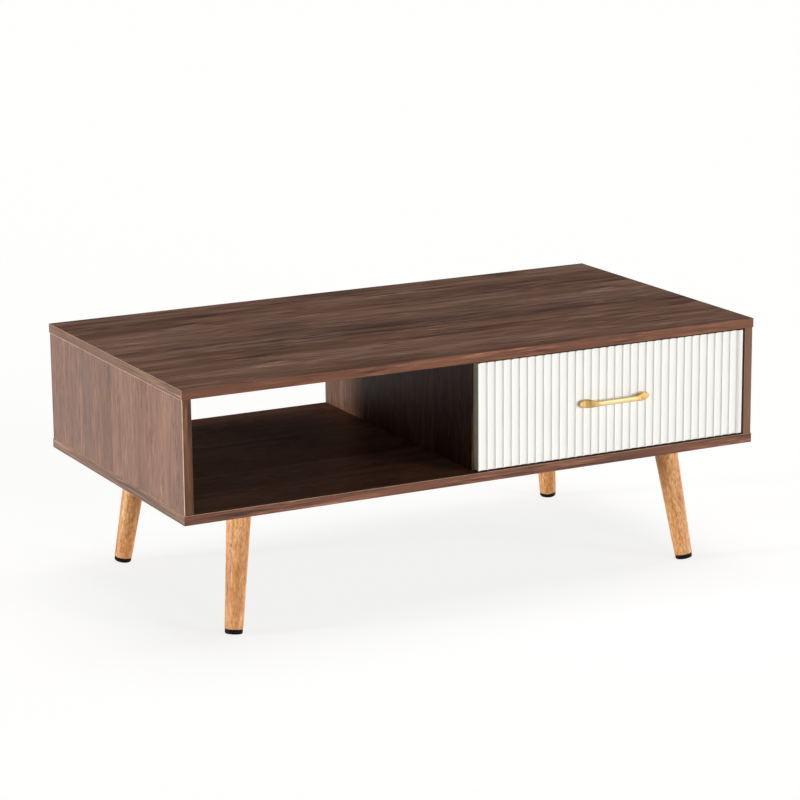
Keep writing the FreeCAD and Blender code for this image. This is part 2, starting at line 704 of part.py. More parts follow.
def add_slide(side, hand, wall_panel):
    """The three channels of one slide and their cages; the outer one is screwed to a panel of the case."""
    ends = (slide_front, slide_rear)
    past_ends = (slide_front - cut_overrun, slide_rear + cut_overrun)
    into_case = LEFT * hand
    outer_cuts = [slide_block(hand, slide_sheet, outer_lip_back, outer_race, past_ends),
                  slide_block(hand, slide_sheet, slide_outer_reach + cut_overrun, outer_race - slide_lip,
                              past_ends)]
    inner_cuts = [slide_block(hand, inner_edge - cut_overrun, inner_web, inner_half - slide_sheet, past_ends)]
    wall = bay_left if hand > 0 else bay_right
    for place in slide_places():
        head = Vector(wall + hand * slide_sheet, place, slide_level)
        pieces["slide_outer_screws"].append(
            countersunk_screw(head, into_case, slide_sheet, slide_outer_screw_length))
        bore = screw_bore(head, into_case, slide_sheet, slide_outer_screw_length)
        outer_cuts += bore
        upright_cuts[wall_panel] += bore[:2]
        inner_head = Vector(wall + hand * inner_web, place, slide_level)
        inner_cuts += screw_bore(inner_head, -into_case, slide_sheet, slide_inner_screw_length)
    pieces["slide_outer_" + side] = [
        cut_away(slide_block(hand, 0, slide_outer_reach, slide_height / 2, ends), outer_cuts)]
    pieces["slide_middle_" + side] = [
        cut_away(slide_block(hand, middle_back, slide_middle_reach, middle_half, ends),
                 [slide_block(hand, middle_back + slide_sheet, slide_middle_reach + cut_overrun, middle_race,
                              past_ends)])]
    pieces["slide_inner_" + side] = [
        cut_away(slide_block(hand, inner_edge, slide_space, inner_half, ends), inner_cuts)]
    add_cage("outer_ball_cage_" + side, "outer_slide_balls", hand, outer_cage_back,
             outer_lip_back - cage_play, outer_ball_depth, outer_ball_level)
    add_cage("inner_ball_cage_" + side, "inner_slide_balls", hand, inner_cage_back,
             slide_middle_reach - cage_play, inner_ball_depth, inner_ball_level)


add_slide("left", 1, "divider_panel")
add_slide("right", -1, "right_side_panel")


# Boards of the case, cut last, when every fitting has asked for its bores
for name, (along, across, cam_face) in uprights.items():
    pieces[name] = [cut_away(block(along, across, (bay_floor, bay_ceiling)), upright_cuts[name])]
panel_along = (-table_length / 2, table_length / 2)
panel_across = (case_front, case_rear)
pieces["top_panel"] = [cut_away(block(panel_along, panel_across, (bay_ceiling, table_height)), top_cuts)]
pieces["bottom_panel"] = [cut_away(block(panel_along, panel_across, (case_bottom, bay_floor)), bottom_cuts)]

os.makedirs("parts", exist_ok=True)
for name, solids in pieces.items():
    shape = solids[0] if len(solids) == 1 else Part.makeCompound(solids)
    shape.exportStep("parts/" + name + ".step")
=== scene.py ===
import math

import bmesh
import bpy
from mathutils import Matrix, Vector


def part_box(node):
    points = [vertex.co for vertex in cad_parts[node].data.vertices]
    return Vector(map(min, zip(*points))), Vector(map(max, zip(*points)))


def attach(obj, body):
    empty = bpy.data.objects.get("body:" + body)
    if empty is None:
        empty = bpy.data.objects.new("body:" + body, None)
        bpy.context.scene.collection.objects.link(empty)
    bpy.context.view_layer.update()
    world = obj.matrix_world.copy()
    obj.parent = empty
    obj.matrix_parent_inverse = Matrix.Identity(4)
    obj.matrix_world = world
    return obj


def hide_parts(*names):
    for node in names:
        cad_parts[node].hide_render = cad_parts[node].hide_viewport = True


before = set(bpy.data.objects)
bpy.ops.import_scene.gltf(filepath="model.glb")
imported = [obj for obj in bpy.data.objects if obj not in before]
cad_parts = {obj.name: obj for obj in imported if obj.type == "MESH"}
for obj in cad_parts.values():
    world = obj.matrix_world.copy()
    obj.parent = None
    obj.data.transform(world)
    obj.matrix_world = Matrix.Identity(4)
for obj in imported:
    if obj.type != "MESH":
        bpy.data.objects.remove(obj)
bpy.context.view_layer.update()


# Case boards: 15 mm chipboard faced with walnut-print melamine and banded on every edge. The print is laid
# in strips, as if the board were glued up from planks. The uprights stand between the bottom and the top.
board_edge_round = 0.0007
touching = 1e-5
same_point = 1e-6
plank_width = 0.085
unbroken_width = 0.6
plank_shift = (6.0, 1.0, 0.0)
grain_wander_run = (0.20, 0.045)
grain_cluster = (0.15, 0.040)
dark_figure = (0.26, 0.0140)
dash_width = 0.006
face_streaks = ((0.70, 0.075, 0.50), (0.32, 0.028, 0.50), (0.15, 0.0095, 0.52), (0.075, 0.0038, 0.58),
                (0.035, 0.0020, 0.46))
quiet_streaks = ((0.60, 0.060, 0.34), (0.22, 0.024, 0.30), (0.075, 0.0085, 0.32), (0.040, 0.0036, 0.42),
                 (0.018, 0.0022, 0.30))
band_streaks = ((0.30, 0.040, 0.55), (0.20, 0.0055, 0.44), (0.085, 0.0026, 0.55), (0.030, 0.0015, 0.40))
end_streaks = ((0.30, 0.040, 0.34), (0.30, 0.0045, 0.36), (0.15, 0.0022, 0.80), (0.040, 0.0014, 0.30))
resin_patch = 0.02
other_face_shift = 0.31
bump_depth = 0.0001
# Most of a noise pattern lies between these two levels.
noise_span = {1: 0.3, 2: 0.7}


def linear(colour):
    """Linear RGBA of an sRGB hex colour."""
    channels = [int(colour[start:start + 2], 16) / 255 for start in (1, 3, 5)]
    return [c / 12.92 if c <= 0.04045 else ((c + 0.055) / 1.055) ** 2.4 for c in channels] + [1.0]


def feed(tree, node, inputs):
    """Each input takes a value, or a link where a socket is given, or a node for its first output."""
    for socket, value in inputs.items():
        if isinstance(value, bpy.types.Node):
            value = value.outputs[0]
        if isinstance(value, bpy.types.NodeSocket):
            tree.links.new(value, node.inputs[socket])
        else:
            node.inputs[socket].default_value = value


def add(tree, kind, inputs=None, **settings):
    """A node with its settings and links."""
    node = tree.nodes.new(kind)
    for name, value in settings.items():
        setattr(node, name, value)
    feed(tree, node, inputs or {})
    return node


def new_finish(name):
    """A new material and its node tree."""
    material = bpy.data.materials.new(name)
    material.use_nodes = True
    return material, material.node_tree


def surfaced(material, inputs):
    """The material, once its surface shader is fed."""
    feed(material.node_tree, material.node_tree.nodes["Principled BSDF"], inputs)
    return material


def drawn_pattern(tree, place, lengths, detail, roughness=0.5):
    """A cloudy pattern drawn out to a length along each axis, as grain and brush lines are. Two lengths make
    it flat."""
    scale = [1 / length for length in lengths] + [0.0] * (3 - len(lengths))
    drawn = add(tree, "ShaderNodeVectorMath", {0: place, 1: scale}, operation="MULTIPLY")
    return add(tree, "ShaderNodeTexNoise",
               {"Vector": drawn, "Scale": 1.0, "Detail": detail, "Roughness": roughness},
               noise_dimensions="%dD" % len(lengths))


def graded_colour(tree, tone, stops):
    """Colour that runs through the stops as the tone rises."""
    ramp = add(tree, "ShaderNodeValToRGB", {0: tone})
    while len(ramp.color_ramp.elements) < len(stops):
        ramp.color_ramp.elements.new(0.5)
    for element, (position, colour) in zip(ramp.color_ramp.elements, stops):
        element.position = position
        element.color = linear(colour)
    return ramp


def walnut_print(name, stops, streaks, plank, tone_range, figure, wander, shine):
    """Satin décor paper under melamine resin. It gives the eye soft dark figure, broken streaks of several
    widths that come in clusters and wander a little, strips of slightly differing tone, and a dull gloss."""
    material, tree = new_finish(name)
    grain = add(tree, "ShaderNodeUVMap", uv_map="grain")
    across = add(tree, "ShaderNodeSeparateXYZ", {0: grain}).outputs["Y"]
    strip = add(tree, "ShaderNodeTexVoronoi", {"W": across, "Scale": 1 / plank, "Randomness": 0.8},
                voronoi_dimensions="1D").outputs["Color"]
    chance = add(tree, "ShaderNodeSeparateColor", {0: strip}).outputs
    offset = add(tree, "ShaderNodeVectorMath", {0: strip, 1: plank_shift}, operation="MULTIPLY")
    place = add(tree, "ShaderNodeVectorMath", {0: grain, 1: offset}, operation="ADD")
    sway = drawn_pattern(tree, place, grain_wander_run, 2.0)
    sideways = add(tree, "ShaderNodeMath", {0: sway, 1: wander}, operation="MULTIPLY")
    swayed = add(tree, "ShaderNodeCombineXYZ", {"Y": sideways})
    place = add(tree, "ShaderNodeVectorMath", {0: place, 1: swayed}, operation="ADD")
    cluster = drawn_pattern(tree, place, grain_cluster, 2.0)
    busy = add(tree, "ShaderNodeMapRange", {0: cluster, 1: 0.36, 2: 0.64, 3: 0.15, 4: 1.8})
    flame = drawn_pattern(tree, place, dark_figure, 3.0, 0.55)
    dark = add(tree, "ShaderNodeMapRange", {0: flame, 1: 0.50, 2: 0.68, 3: 0.0, 4: -figure},
               interpolation_type="SMOOTHSTEP")
    tone = add(tree, "ShaderNodeMath", {0: chance["Blue"], 1: tone_range, 2: 0.5 - tone_range / 2},
               operation="MULTIPLY_ADD")
    tone = add(tree, "ShaderNodeMath", {0: tone, 1: dark}, operation="ADD")
    for run, width, weight in streaks:
        streak = drawn_pattern(tree, place, (run, width), 2.0, 0.55)
        swing = add(tree, "ShaderNodeMath", {0: streak, 1: weight, 2: -weight / 2}, operation="MULTIPLY_ADD")
        loud = busy if width < dash_width else 1.0
        tone = add(tree, "ShaderNodeMath", {0: swing, 1: loud, 2: tone}, operation="MULTIPLY_ADD")
    hue = add(tree, "ShaderNodeMapRange", {0: chance["Green"], 3: 0.4965, 4: 0.5045})
    strength = add(tree, "ShaderNodeMapRange", {0: chance["Red"], 3: 0.94, 4: 1.06})
    tinted = add(tree, "ShaderNodeHueSaturation",
                 {"Hue": hue, "Saturation": strength, "Color": graded_colour(tree, tone, stops)})
    gloss = add(tree, "ShaderNodeMapRange", {0: streak, **noise_span, 3: 0.49, 4: 0.39})
    pores = add(tree, "ShaderNodeBump", {"Strength": 0.25, "Distance": bump_depth, "Height": streak})
    return surfaced(material, {"IOR": 1.5, "Specular IOR Level": shine, "Base Color": tinted,
                               "Roughness": gloss, "Normal": pores})


walnut_face = walnut_print(
    "walnut_print_melamine",
    ((0.10, "#482d23"), (0.34, "#66483a"), (0.52, "#7d5c4b"), (0.70, "#906f5e"), (0.92, "#a78674")),
    face_streaks, plank_width, tone_range=0.20, figure=0.12, wander=0.012, shine=0.22)
quiet_face = walnut_print(
    "walnut_print_melamine_quiet",
    ((0.10, "#50342a"), (0.34, "#6d4b3b"), (0.52, "#825d49"), (0.70, "#956e58"), (0.92, "#ac856d")),
    quiet_streaks, plank_width, tone_range=0.32, figure=0.04, wander=0.010, shine=0.4)
# A darker copy of the walnut print: painted shade for the boards that sit in shade inside the case.
painted_shade_face = walnut_print(
    "walnut_print_melamine_painted_shade",
    ((0.10, "#34201a"), (0.34, "#4a3025"), (0.52, "#5d4030"), (0.70, "#6f4f3d"), (0.92, "#86644f")),
    quiet_streaks, plank_width, tone_range=0.20, figure=0.06, wander=0.012, shine=0.10)
walnut_band = walnut_print(
    "walnut_print_edge_band",
    ((0.10, "#321a0f"), (0.34, "#5a3420"), (0.52, "#75472f"), (0.70, "#905e43"), (0.92, "#ba8664")),
    band_streaks, unbroken_width, tone_range=0.10, figure=0.05, wander=0.0015, shine=0.25)
end_band = walnut_print(
    "walnut_print_end_band",
    ((0.10, "#40291b"), (0.34, "#62442f"), (0.52, "#785741"), (0.70, "#8d6a52"), (0.92, "#a9866b")),
    end_streaks, unbroken_width, tone_range=0.10, figure=0.05, wander=0.0008, shine=0.3)
dark_band = walnut_print(
    "walnut_print_dark_edge_band",
    ((0.10, "#28150b"), (0.34, "#482a19"), (0.52, "#5e3a26"), (0.70, "#744a34"), (0.92, "#94684e")),
    band_streaks, unbroken_width, tone_range=0.10, figure=0.05, wander=0.0015, shine=0.25)


def varied_colour(tree, pattern, darkest, lightest, colour, span=noise_span):
    """The colour, made darker and lighter by a pattern."""
    shade = add(tree, "ShaderNodeMapRange", {0: pattern, **span, 3: darkest, 4: lightest})
    return add(tree, "ShaderNodeHueSaturation", {"Value": shade, "Color": colour})


def trimmed_resin(name, colour):
    """Pale resin line where a band or a face is trimmed off at an edge: thin, uneven and matt."""
    material, tree = new_finish(name)
    place = add(tree, "ShaderNodeTexCoord").outputs["Object"]
    patch = add(tree, "ShaderNodeTexNoise", {"Vector": place, "Scale": 1 / resin_patch, "Detail": 3.0})
    return surfaced(material, {"Roughness": 0.6,
                               "Base Color": varied_colour(tree, patch, 0.65, 1.1, linear(colour))})


trim_line = trimmed_resin("trimmed_melamine_edge", "#e6c8a8")
faint_trim = trimmed_resin("trimmed_band_edge", "#ad886c")


def in_scene(name, data):
    """A new object in the scene."""
    thing = bpy.data.objects.new(name, data)
    bpy.context.scene.collection.objects.link(thing)
    return thing


def mounted(name, mesh, body, slot, *nodes):
    """A finished piece in the scene, on its body and in place of its CAD nodes."""
    piece = in_scene(name, mesh)
    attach(piece, body)
    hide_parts(*nodes)


def merged(node):
    """A CAD node's shape, with its loose triangles joined up."""
    shape = bmesh.new()
    shape.from_mesh(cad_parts[node].data)
    bmesh.ops.remove_doubles(shape, verts=shape.verts, dist=same_point)
    return shape


def plain_mesh(name, shape, *materials):
    """The mesh of a finished shape, with its materials."""
    mesh = bpy.data.meshes.new(name)
    shape.to_mesh(mesh)
    shape.free()
    for material in materials:
        mesh.materials.append(material)
    return mesh


def board(name, node, body, grain, shift, edge_round, face_print, band, rim, rim_side):
    """A board as the CAD has it, with softened outer edges and a map of its grain in metres. The softened
    edges that look to rim_side show the trimmed resin."""
    low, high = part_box(node)
    size = high - low
    thin = min(range(3), key=lambda axis: size[axis])
    shape = merged(node)
    bmesh.ops.dissolve_limit(shape, angle_limit=math.radians(0.5), verts=shape.verts, edges=shape.edges)
    outer = []
    for edge in shape.edges:
        on_faces = sum(all(abs(vert.co[axis] - limit[axis]) < touching for vert in edge.verts)
                       for axis in range(3) for limit in (low, high))
        if on_faces >= 2:
            outer.append(edge)
    softened = bmesh.ops.bevel(shape, geom=outer, offset=edge_round, offset_type="OFFSET", segments=2,
                               profile=0.5, affect="EDGES", clamp_overlap=True)
    trimmed = set(softened["faces"])
    grain_map = shape.loops.layers.uv.new("grain")
    for face in shape.faces:
        facing = max(range(3), key=lambda axis: abs(face.normal[axis]))
        side = other_face_shift if face.normal[facing] > 0 else 0.0
        along, over = (grain, 3 - thin - grain) if facing == thin else (3 - thin - facing, thin)
        for loop in face.loops:
            spot = loop.vert.co
            loop[grain_map].uv = (spot[along] + shift[0] + side + facing, spot[over] + shift[1] + side)
        if face in trimmed and face.normal.dot(Vector(rim_side)) > 0.3:
            face.material_index = 3
        elif facing != thin:
            face.material_index = 1 if facing == 1 else 2
    mesh = plain_mesh(name, shape, face_print, band, end_band, rim)
    mounted(name, mesh, body, "walnut_board", node)


# The bottom, the divider and the bay's back take the darker copy of the print, which is painted shade.
for name, node, grain, shift, face_print, band, rim, rim_side in (
        ("top_board", "top_panel", 0, (2.0, 2.53), walnut_face, walnut_band, faint_trim, (-1, 0, 0)),
        ("bottom_board", "bottom_panel", 0, (5.0, 7.4), painted_shade_face, walnut_band, faint_trim, (0, 0, 1)),
        ("left_side_board", "left_side_panel", 2, (1.0, 2.7), quiet_face, dark_band, trim_line, (-1, 0, 0)),
        ("right_side_board", "right_side_panel", 2, (8.0, 5.6), quiet_face, end_band, trim_line, (1, 0, 0)),
        ("divider_board", "divider_panel", 2, (3.0, 9.2), painted_shade_face, dark_band, faint_trim, (0, 1, 0)),
        ("bay_back_board", "drawer_bay_back_panel", 0, (6.0, 1.9), painted_shade_face, dark_band, faint_trim,
         (0, 1, 0))):
    board(name, node, "case", grain, shift, board_edge_round, face_print, band, rim, rim_side)


# Fittings in the case: beech dowels, zinc-plated cam bolts and die-cast cam nuts that grip the bolts' heads.
# The cams lie flush in the uprights, with a cross recess for the screwdriver.
cam_sides = 40
cam_depth_limit = 0.013
right_upright_from = 0.2
fitting_crease = 30
beech_fleck = (0.0008, 0.0008, 0.006)


def plated_metal(name, colour, roughness, patch):
    """Bright zinc-plated or die-cast metal: its lustre clouds over in patches, and handling leaves it fine
    scuffs that show as changes of gloss."""
    material, tree = new_finish(name)
    place = add(tree, "ShaderNodeTexCoord").outputs["Object"]
    cloud = add(tree, "ShaderNodeTexNoise", {"Vector": place, "Scale": 1 / patch, "Detail": 4.0})
    scuff = add(tree, "ShaderNodeTexNoise", {"Vector": place, "Scale": 8 / patch, "Detail": 2.0})
    gloss = add(tree, "ShaderNodeMapRange",
                {0: scuff, **noise_span, 3: roughness - 0.07, 4: roughness + 0.09})
    return surfaced(material, {"Metallic": 1.0, "Roughness": gloss,
                               "Base Color": varied_colour(tree, cloud, 0.85, 1.06, linear(colour))})


def beech(name, colour):
    """Plain turned beech, pale and matt, with short darker flecks."""
    material, tree = new_finish(name)
    place = add(tree, "ShaderNodeTexCoord").outputs["Object"]
    fleck = drawn_pattern(tree, place, beech_fleck, 2.0)
    return surfaced(material, {"Roughness": 0.65,
                               "Base Color": varied_colour(tree, fleck, 0.75, 1.08, linear(colour))})


zinc_plate = plated_metal("zinc_plated_steel", "#b6b9bc", 0.33, 0.012)
cam_casting = plated_metal("die_cast_zinc", "#a3a29c", 0.42, 0.006)
dowel_wood = beech("turned_beech", "#d2ab7c")


def new_tree(name, sizes, count):
    """A node tree, and the sockets that give it its geometry, sizes, count and material, by name."""
    tree = bpy.data.node_groups.new(name, "GeometryNodeTree")
    kinds = {"Geometry": "Geometry", **dict.fromkeys(sizes, "Float"), count: "Int", "Material": "Material"}
    for socket, kind in kinds.items():
        tree.interface.new_socket(name=socket, in_out="INPUT", socket_type="NodeSocket" + kind)
    tree.interface.new_socket(name="Geometry", in_out="OUTPUT", socket_type="NodeSocketGeometry")
    return tree, add(tree, "NodeGroupInput").outputs


def finish_tree(tree, geometry, material):
    """Realize Instances and Set Material, which every tree ends in."""
    real = add(tree, "GeometryNodeRealizeInstances", {"Geometry": geometry})
    coated = add(tree, "GeometryNodeSetMaterial", {"Geometry": real, "Material": material})
    add(tree, "NodeGroupOutput", {"Geometry": coated})


def driven_fitting():
    """Node tree of a fitting that is driven in: a round head with a cross recess, and a shank behind it. Its
    points say where each head's face is, and their attribute drive says which way it goes in."""
    tree, given = new_tree("driven_fitting", ("Face Radius", "Seat Radius", "Head Depth", "Shank Radius",
                                              "Length", "Slot Reach", "Slot Width", "Slot Depth"), "Sides")
    head = add(tree, "GeometryNodeMeshCone",
               {"Vertices": given["Sides"], "Radius Top": given["Seat Radius"],
                "Radius Bottom": given["Face Radius"], "Depth": given["Head Depth"]})
    shank = add(tree, "GeometryNodeMeshCylinder",
                {"Vertices": given["Sides"], "Radius": given["Shank Radius"], "Depth": given["Length"]})
    half = add(tree, "ShaderNodeMath", {0: given["Length"], 1: 0.5}, operation="MULTIPLY")
    inward = add(tree, "ShaderNodeCombineXYZ", {"Z": half})
    shank = add(tree, "GeometryNodeTransform", {"Geometry": shank, "Translation": inward})
    whole = add(tree, "GeometryNodeMeshBoolean", {"Mesh 2": head}, operation="UNION")
    feed(tree, whole, {"Mesh 2": shank})
    double = add(tree, "ShaderNodeMath", {0: given["Slot Depth"], 1: 2.0}, operation="MULTIPLY")
    slot_size = add(tree, "ShaderNodeCombineXYZ",
                    {"X": given["Slot Reach"], "Y": given["Slot Width"], "Z": double})
    slot = add(tree, "GeometryNodeMeshCube", {"Size": slot_size})
    crossed = add(tree, "GeometryNodeTransform", {"Geometry": slot, "Rotation": (0.0, 0.0, math.pi / 2)})
    cut = add(tree, "GeometryNodeMeshBoolean", {"Mesh 1": whole, "Mesh 2": slot}, operation="DIFFERENCE")
    feed(tree, cut, {"Mesh 2": crossed})
    drive = add(tree, "GeometryNodeInputNamedAttribute", {"Name": "drive"}, data_type="FLOAT_VECTOR")
    turned = add(tree, "FunctionNodeAlignRotationToVector", {"Vector": drive}, axis="Z")
    placed = add(tree, "GeometryNodeInstanceOnPoints",
                 {"Points": given["Geometry"], "Instance": cut, "Rotation": turned})
    finish_tree(tree, placed, given["Material"])
    return tree


def solid_boxes(node):
    """Lowest and highest corners of each separate solid of a CAD node."""
    shape = merged(node)
    boxes = []
    waiting = set(shape.verts)
    while waiting:
        found = [waiting.pop()]
        for vert in found:
            for edge in vert.link_edges:
                other = edge.other_vert(vert)
                if other in waiting:
                    waiting.remove(other)
                    found.append(other)
        boxes.append([Vector([pick(vert.co[axis] for vert in found) for axis in range(3)])
                      for pick in (min, max)])
    shape.free()
    return sorted(boxes, key=lambda box: tuple(round(value, 5) for value in box[0]))


def grown(name, tree, sizes, points, drives=None, links=()):
    """The plain mesh that a node tree makes from points, with a direction each or linked in a line."""
    start = bpy.data.meshes.new(name + "_points")
    start.from_pydata(points, links, [])
    if drives:
        field = start.attributes.new("drive", "FLOAT_VECTOR", "POINT")
        field.data.foreach_set("vector", [value for drive in drives for value in drive])
    holder = in_scene(name, start)
    modifier = holder.modifiers.new(name, "NODES")
    modifier.node_group = tree
    for socket in tree.interface.items_tree:
        if socket.in_out == "INPUT" and socket.name in sizes:
            modifier[socket.identifier] = sizes[socket.name]
    seen = holder.evaluated_get(bpy.context.evaluated_depsgraph_get())
    mesh = bpy.data.meshes.new_from_object(seen)
    holder.modifiers.remove(modifier)
    bpy.data.objects.remove(holder)
    mesh.name = name
    mesh.materials.clear()
    mesh.materials.append(sizes["Material"])
    return mesh


def smoothed(mesh, crease):
    """The mesh, shaded smooth but for edges sharper than the crease in degrees."""
    mesh.shade_smooth()
    mesh.set_sharp_from_angle(angle=math.radians(crease))
    return mesh


def driven(name, node, body, slot, sizes, drive_of):
    """The fittings of one CAD node. Each has its head's face where its solid begins, and goes in the way
    that drive_of says."""
    points = []
    drives = []
    for low, high in solid_boxes(node):
        drive = Vector(drive_of(low, high))
        reach = sum(abs(drive[axis]) * (high - low)[axis] / 2 for axis in range(3))
        points.append((low + high) / 2 - drive * reach)
        drives.append(drive)
    mesh = grown(name, fitting_tree, sizes, points, drives)
    mounted(name, smoothed(mesh, fitting_crease), body, slot, node)


def into_upright(low, high):
    """Cams of the case go in from the inner face of their upright."""
    if (high - low).y < cam_depth_limit:
        return (0, 1, 0)
    return (-1, 0, 0) if low.x < right_upright_from else (1, 0, 0)


def coat(material, *nodes):
    """Gives CAD nodes that stay as they are their material."""
    for node in nodes:
        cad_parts[node].material_slots[0].material = material


fitting_tree = driven_fitting()
case_cam_sizes = {"Face Radius": 0.0075, "Seat Radius": 0.0075, "Head Depth": 0.012, "Shank Radius": 0.004,
                  "Length": 0.009, "Slot Reach": 0.0078, "Slot Width": 0.0016, "Slot Depth": 0.0018,
                  "Sides": cam_sides, "Material": cam_casting}
driven("case_cams", "case_cam_nuts", "case", "cam_zinc", case_cam_sizes, into_upright)
coat(zinc_plate, "case_cam_bolts")
coat(dowel_wood, "case_dowels")


# Legs: turned and tapered rubber wood under clear lacquer, leaning out along the diagonal. Each hangs by a
# bolt from an angled steel plate that is screwed under the bottom board, and stands on a nailed black pad.
leg_radii = (0.019, 0.0142)
leg_round = 0.0008
leg_round_steps = 4
leg_sides = 64
leg_lean = math.radians(10.5)
leg_start = 0.00586
leg_length = 0.18315
leg_stations = 48
leg_crease = 40
leg_bend = (0.03, 0.03, 0.09)
leg_sway = (0.008, 0.008, 0.0)
leg_ring_step = 0.0045
leg_ring_weight = 0.18
# A ring pattern turns by this many radians over each unit of its scale.
wave_rate = 20
leg_streaks = ((0.090, 0.0120, 0.62), (0.020, 0.0050, 0.56), (0.0075, 0.0024, 0.66))
leg_pore = (0.0018, 0.0018, 0.0065)
pore_depth = 0.21
pad_skin = 0.0006
pad_scuff = 0.008
screw_sides = 32


def lacquered_wood(name, stops):
    """Rubber wood, turned and clear-lacquered. It gives the eye short lengthwise streaks, growth rings that
    run out along the taper as long arches, many dark pores and a soft gloss."""
    material, tree = new_finish(name)
    place = add(tree, "ShaderNodeAttribute", attribute_name="wood").outputs["Vector"]
    sway = drawn_pattern(tree, place, leg_bend, 1.0)
    shift = add(tree, "ShaderNodeVectorMath", {0: sway.outputs["Color"], 1: leg_sway}, operation="MULTIPLY")
    place = add(tree, "ShaderNodeVectorMath", {0: place, 1: shift}, operation="ADD")
    rings = add(tree, "ShaderNodeTexWave",
                {"Vector": place, "Scale": 1 / leg_ring_step / wave_rate, "Distortion": 1.2, "Detail": 2.0,
                 "Detail Scale": 1.5}, wave_type="RINGS", rings_direction="Z", wave_profile="SAW")
    tone = add(tree, "ShaderNodeMath",
               {0: rings.outputs["Fac"], 1: leg_ring_weight, 2: 0.5 - leg_ring_weight / 2},
               operation="MULTIPLY_ADD")
    for run, width, weight in leg_streaks:
        streak = drawn_pattern(tree, place, (width, width, run), 2.0)
        swing = add(tree, "ShaderNodeMath", {0: streak, 1: weight, 2: -weight / 2}, operation="MULTIPLY_ADD")
        tone = add(tree, "ShaderNodeMath", {0: tone, 1: swing}, operation="ADD")
    pore = drawn_pattern(tree, place, leg_pore, 1.0)
    dark = add(tree, "ShaderNodeMapRange", {0: pore, 1: 0.53, 2: 0.66, 3: 0.0, 4: -pore_depth},
               interpolation_type="SMOOTHSTEP")
    patch = add(tree, "ShaderNodeMapRange", {0: sway, 1: 0.42, 2: 0.60, 3: 0.25, 4: 1.3})
    tone = add(tree, "ShaderNodeMath", {0: dark, 1: patch, 2: tone}, operation="MULTIPLY_ADD")
    pits = add(tree, "ShaderNodeBump", {"Strength": 0.2, "Distance": bump_depth, "Height": dark})
    return surfaced(material, {"Roughness": 0.5, "Specular IOR Level": 0.35, "Normal": pits,
                               "Base Color": graded_colour(tree, tone, stops)})


leg_wood = lacquered_wood(
    "lacquered_rubber_wood",
    ((0.06, "#925327"), (0.30, "#b97a43"), (0.52, "#d1935a"), (0.70, "#e2af79"), (0.92, "#f1cfa3")))


def skinned(shape, rings):
    """Skins a row of rings and closes both its ends."""
    for first, second in zip(rings, rings[1:]):
        for side in range(len(first)):
            following = (side + 1) % len(first)
            shape.faces.new((first[side], first[following], second[following], second[side]))
    shape.faces.new(reversed(rings[0]))
    shape.faces.new(rings[-1])
    bmesh.ops.recalc_face_normals(shape, faces=shape.faces)


def turned_leg(name, corner, heading, pith):
    """A tapered leg hung from the middle of its plate, with the place of each point in the turned blank kept
    for the grain."""
    low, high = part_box("leg_plate_" + corner)
    head = Vector(((low.x + high.x) / 2, (low.y + high.y) / 2, high.z))
    lean = math.sqrt(0.5) * math.sin(leg_lean)
    axis = Vector((heading[0] * lean, heading[1] * lean, -math.cos(leg_lean)))
    first = axis.cross(Vector((0, 0, 1))).normalized()
    second = axis.cross(first).normalized()
    top = head + axis * leg_start
    taper = (leg_radii[0] - leg_radii[1]) / leg_length
    profile = []
    for step in range(leg_round_steps + 1):
        angle = step / leg_round_steps * math.pi / 2
        profile.append((leg_round * (1 - math.cos(angle)), leg_radii[0] - leg_round * (1 - math.sin(angle))))
    for step in range(1, leg_stations + 1):
        along = leg_round + (leg_length - leg_round) * step / leg_stations
        profile.append((along, leg_radii[0] - taper * along))
    shape = bmesh.new()
    wood = shape.verts.layers.float_vector.new("wood")
    rings = []
    for along, radius in profile:
        ring = []
        for side in range(leg_sides):
            angle = 2 * math.pi * side / leg_sides
            offset = (radius * math.cos(angle), radius * math.sin(angle))
            vert = shape.verts.new(top + axis * along + first * offset[0] + second * offset[1])
            vert[wood] = (offset[0] + pith[0], offset[1] + pith[1], along + pith[2])
            ring.append(vert)
        rings.append(ring)
    skinned(shape, rings)
    mesh = smoothed(plain_mesh(name, shape, leg_wood), leg_crease)
    mounted(name, mesh, "case", "leg_wood", "leg_" + corner)


turned_leg("front_left_leg", "front_left", (-1, -1), (0.021, 0.008, 0.0))
turned_leg("front_right_leg", "front_right", (1, -1), (-0.012, 0.026, 0.7))
turned_leg("rear_left_leg", "rear_left", (-1, 1), (0.006, -0.024, 1.3))
turned_leg("rear_right_leg", "rear_right", (1, 1), (-0.025, -0.010, 2.1))


def moulded_plastic(name, colour):
    """Moulded polypropylene, black, with a fine grained skin and dusty scuffs that dull its gloss."""
    material, tree = new_finish(name)
    place = add(tree, "ShaderNodeTexCoord").outputs["Object"]
    skin = add(tree, "ShaderNodeTexNoise", {"Vector": place, "Scale": 1 / pad_skin, "Detail": 2.0})
    scuff = add(tree, "ShaderNodeTexNoise", {"Vector": place, "Scale": 1 / pad_scuff, "Detail": 4.0})
    dusty = varied_colour(tree, scuff, 0.8, 1.3, linear(colour), {1: 0.35, 2: 0.75})
    gloss = add(tree, "ShaderNodeMapRange", {0: scuff, **noise_span, 3: 0.52, 4: 0.68})
    grain = add(tree, "ShaderNodeBump", {"Strength": 0.35, "Distance": bump_depth, "Height": skin})
    return surfaced(material, {"Specular IOR Level": 0.08, "Base Color": dusty, "Roughness": gloss,
                               "Normal": grain})


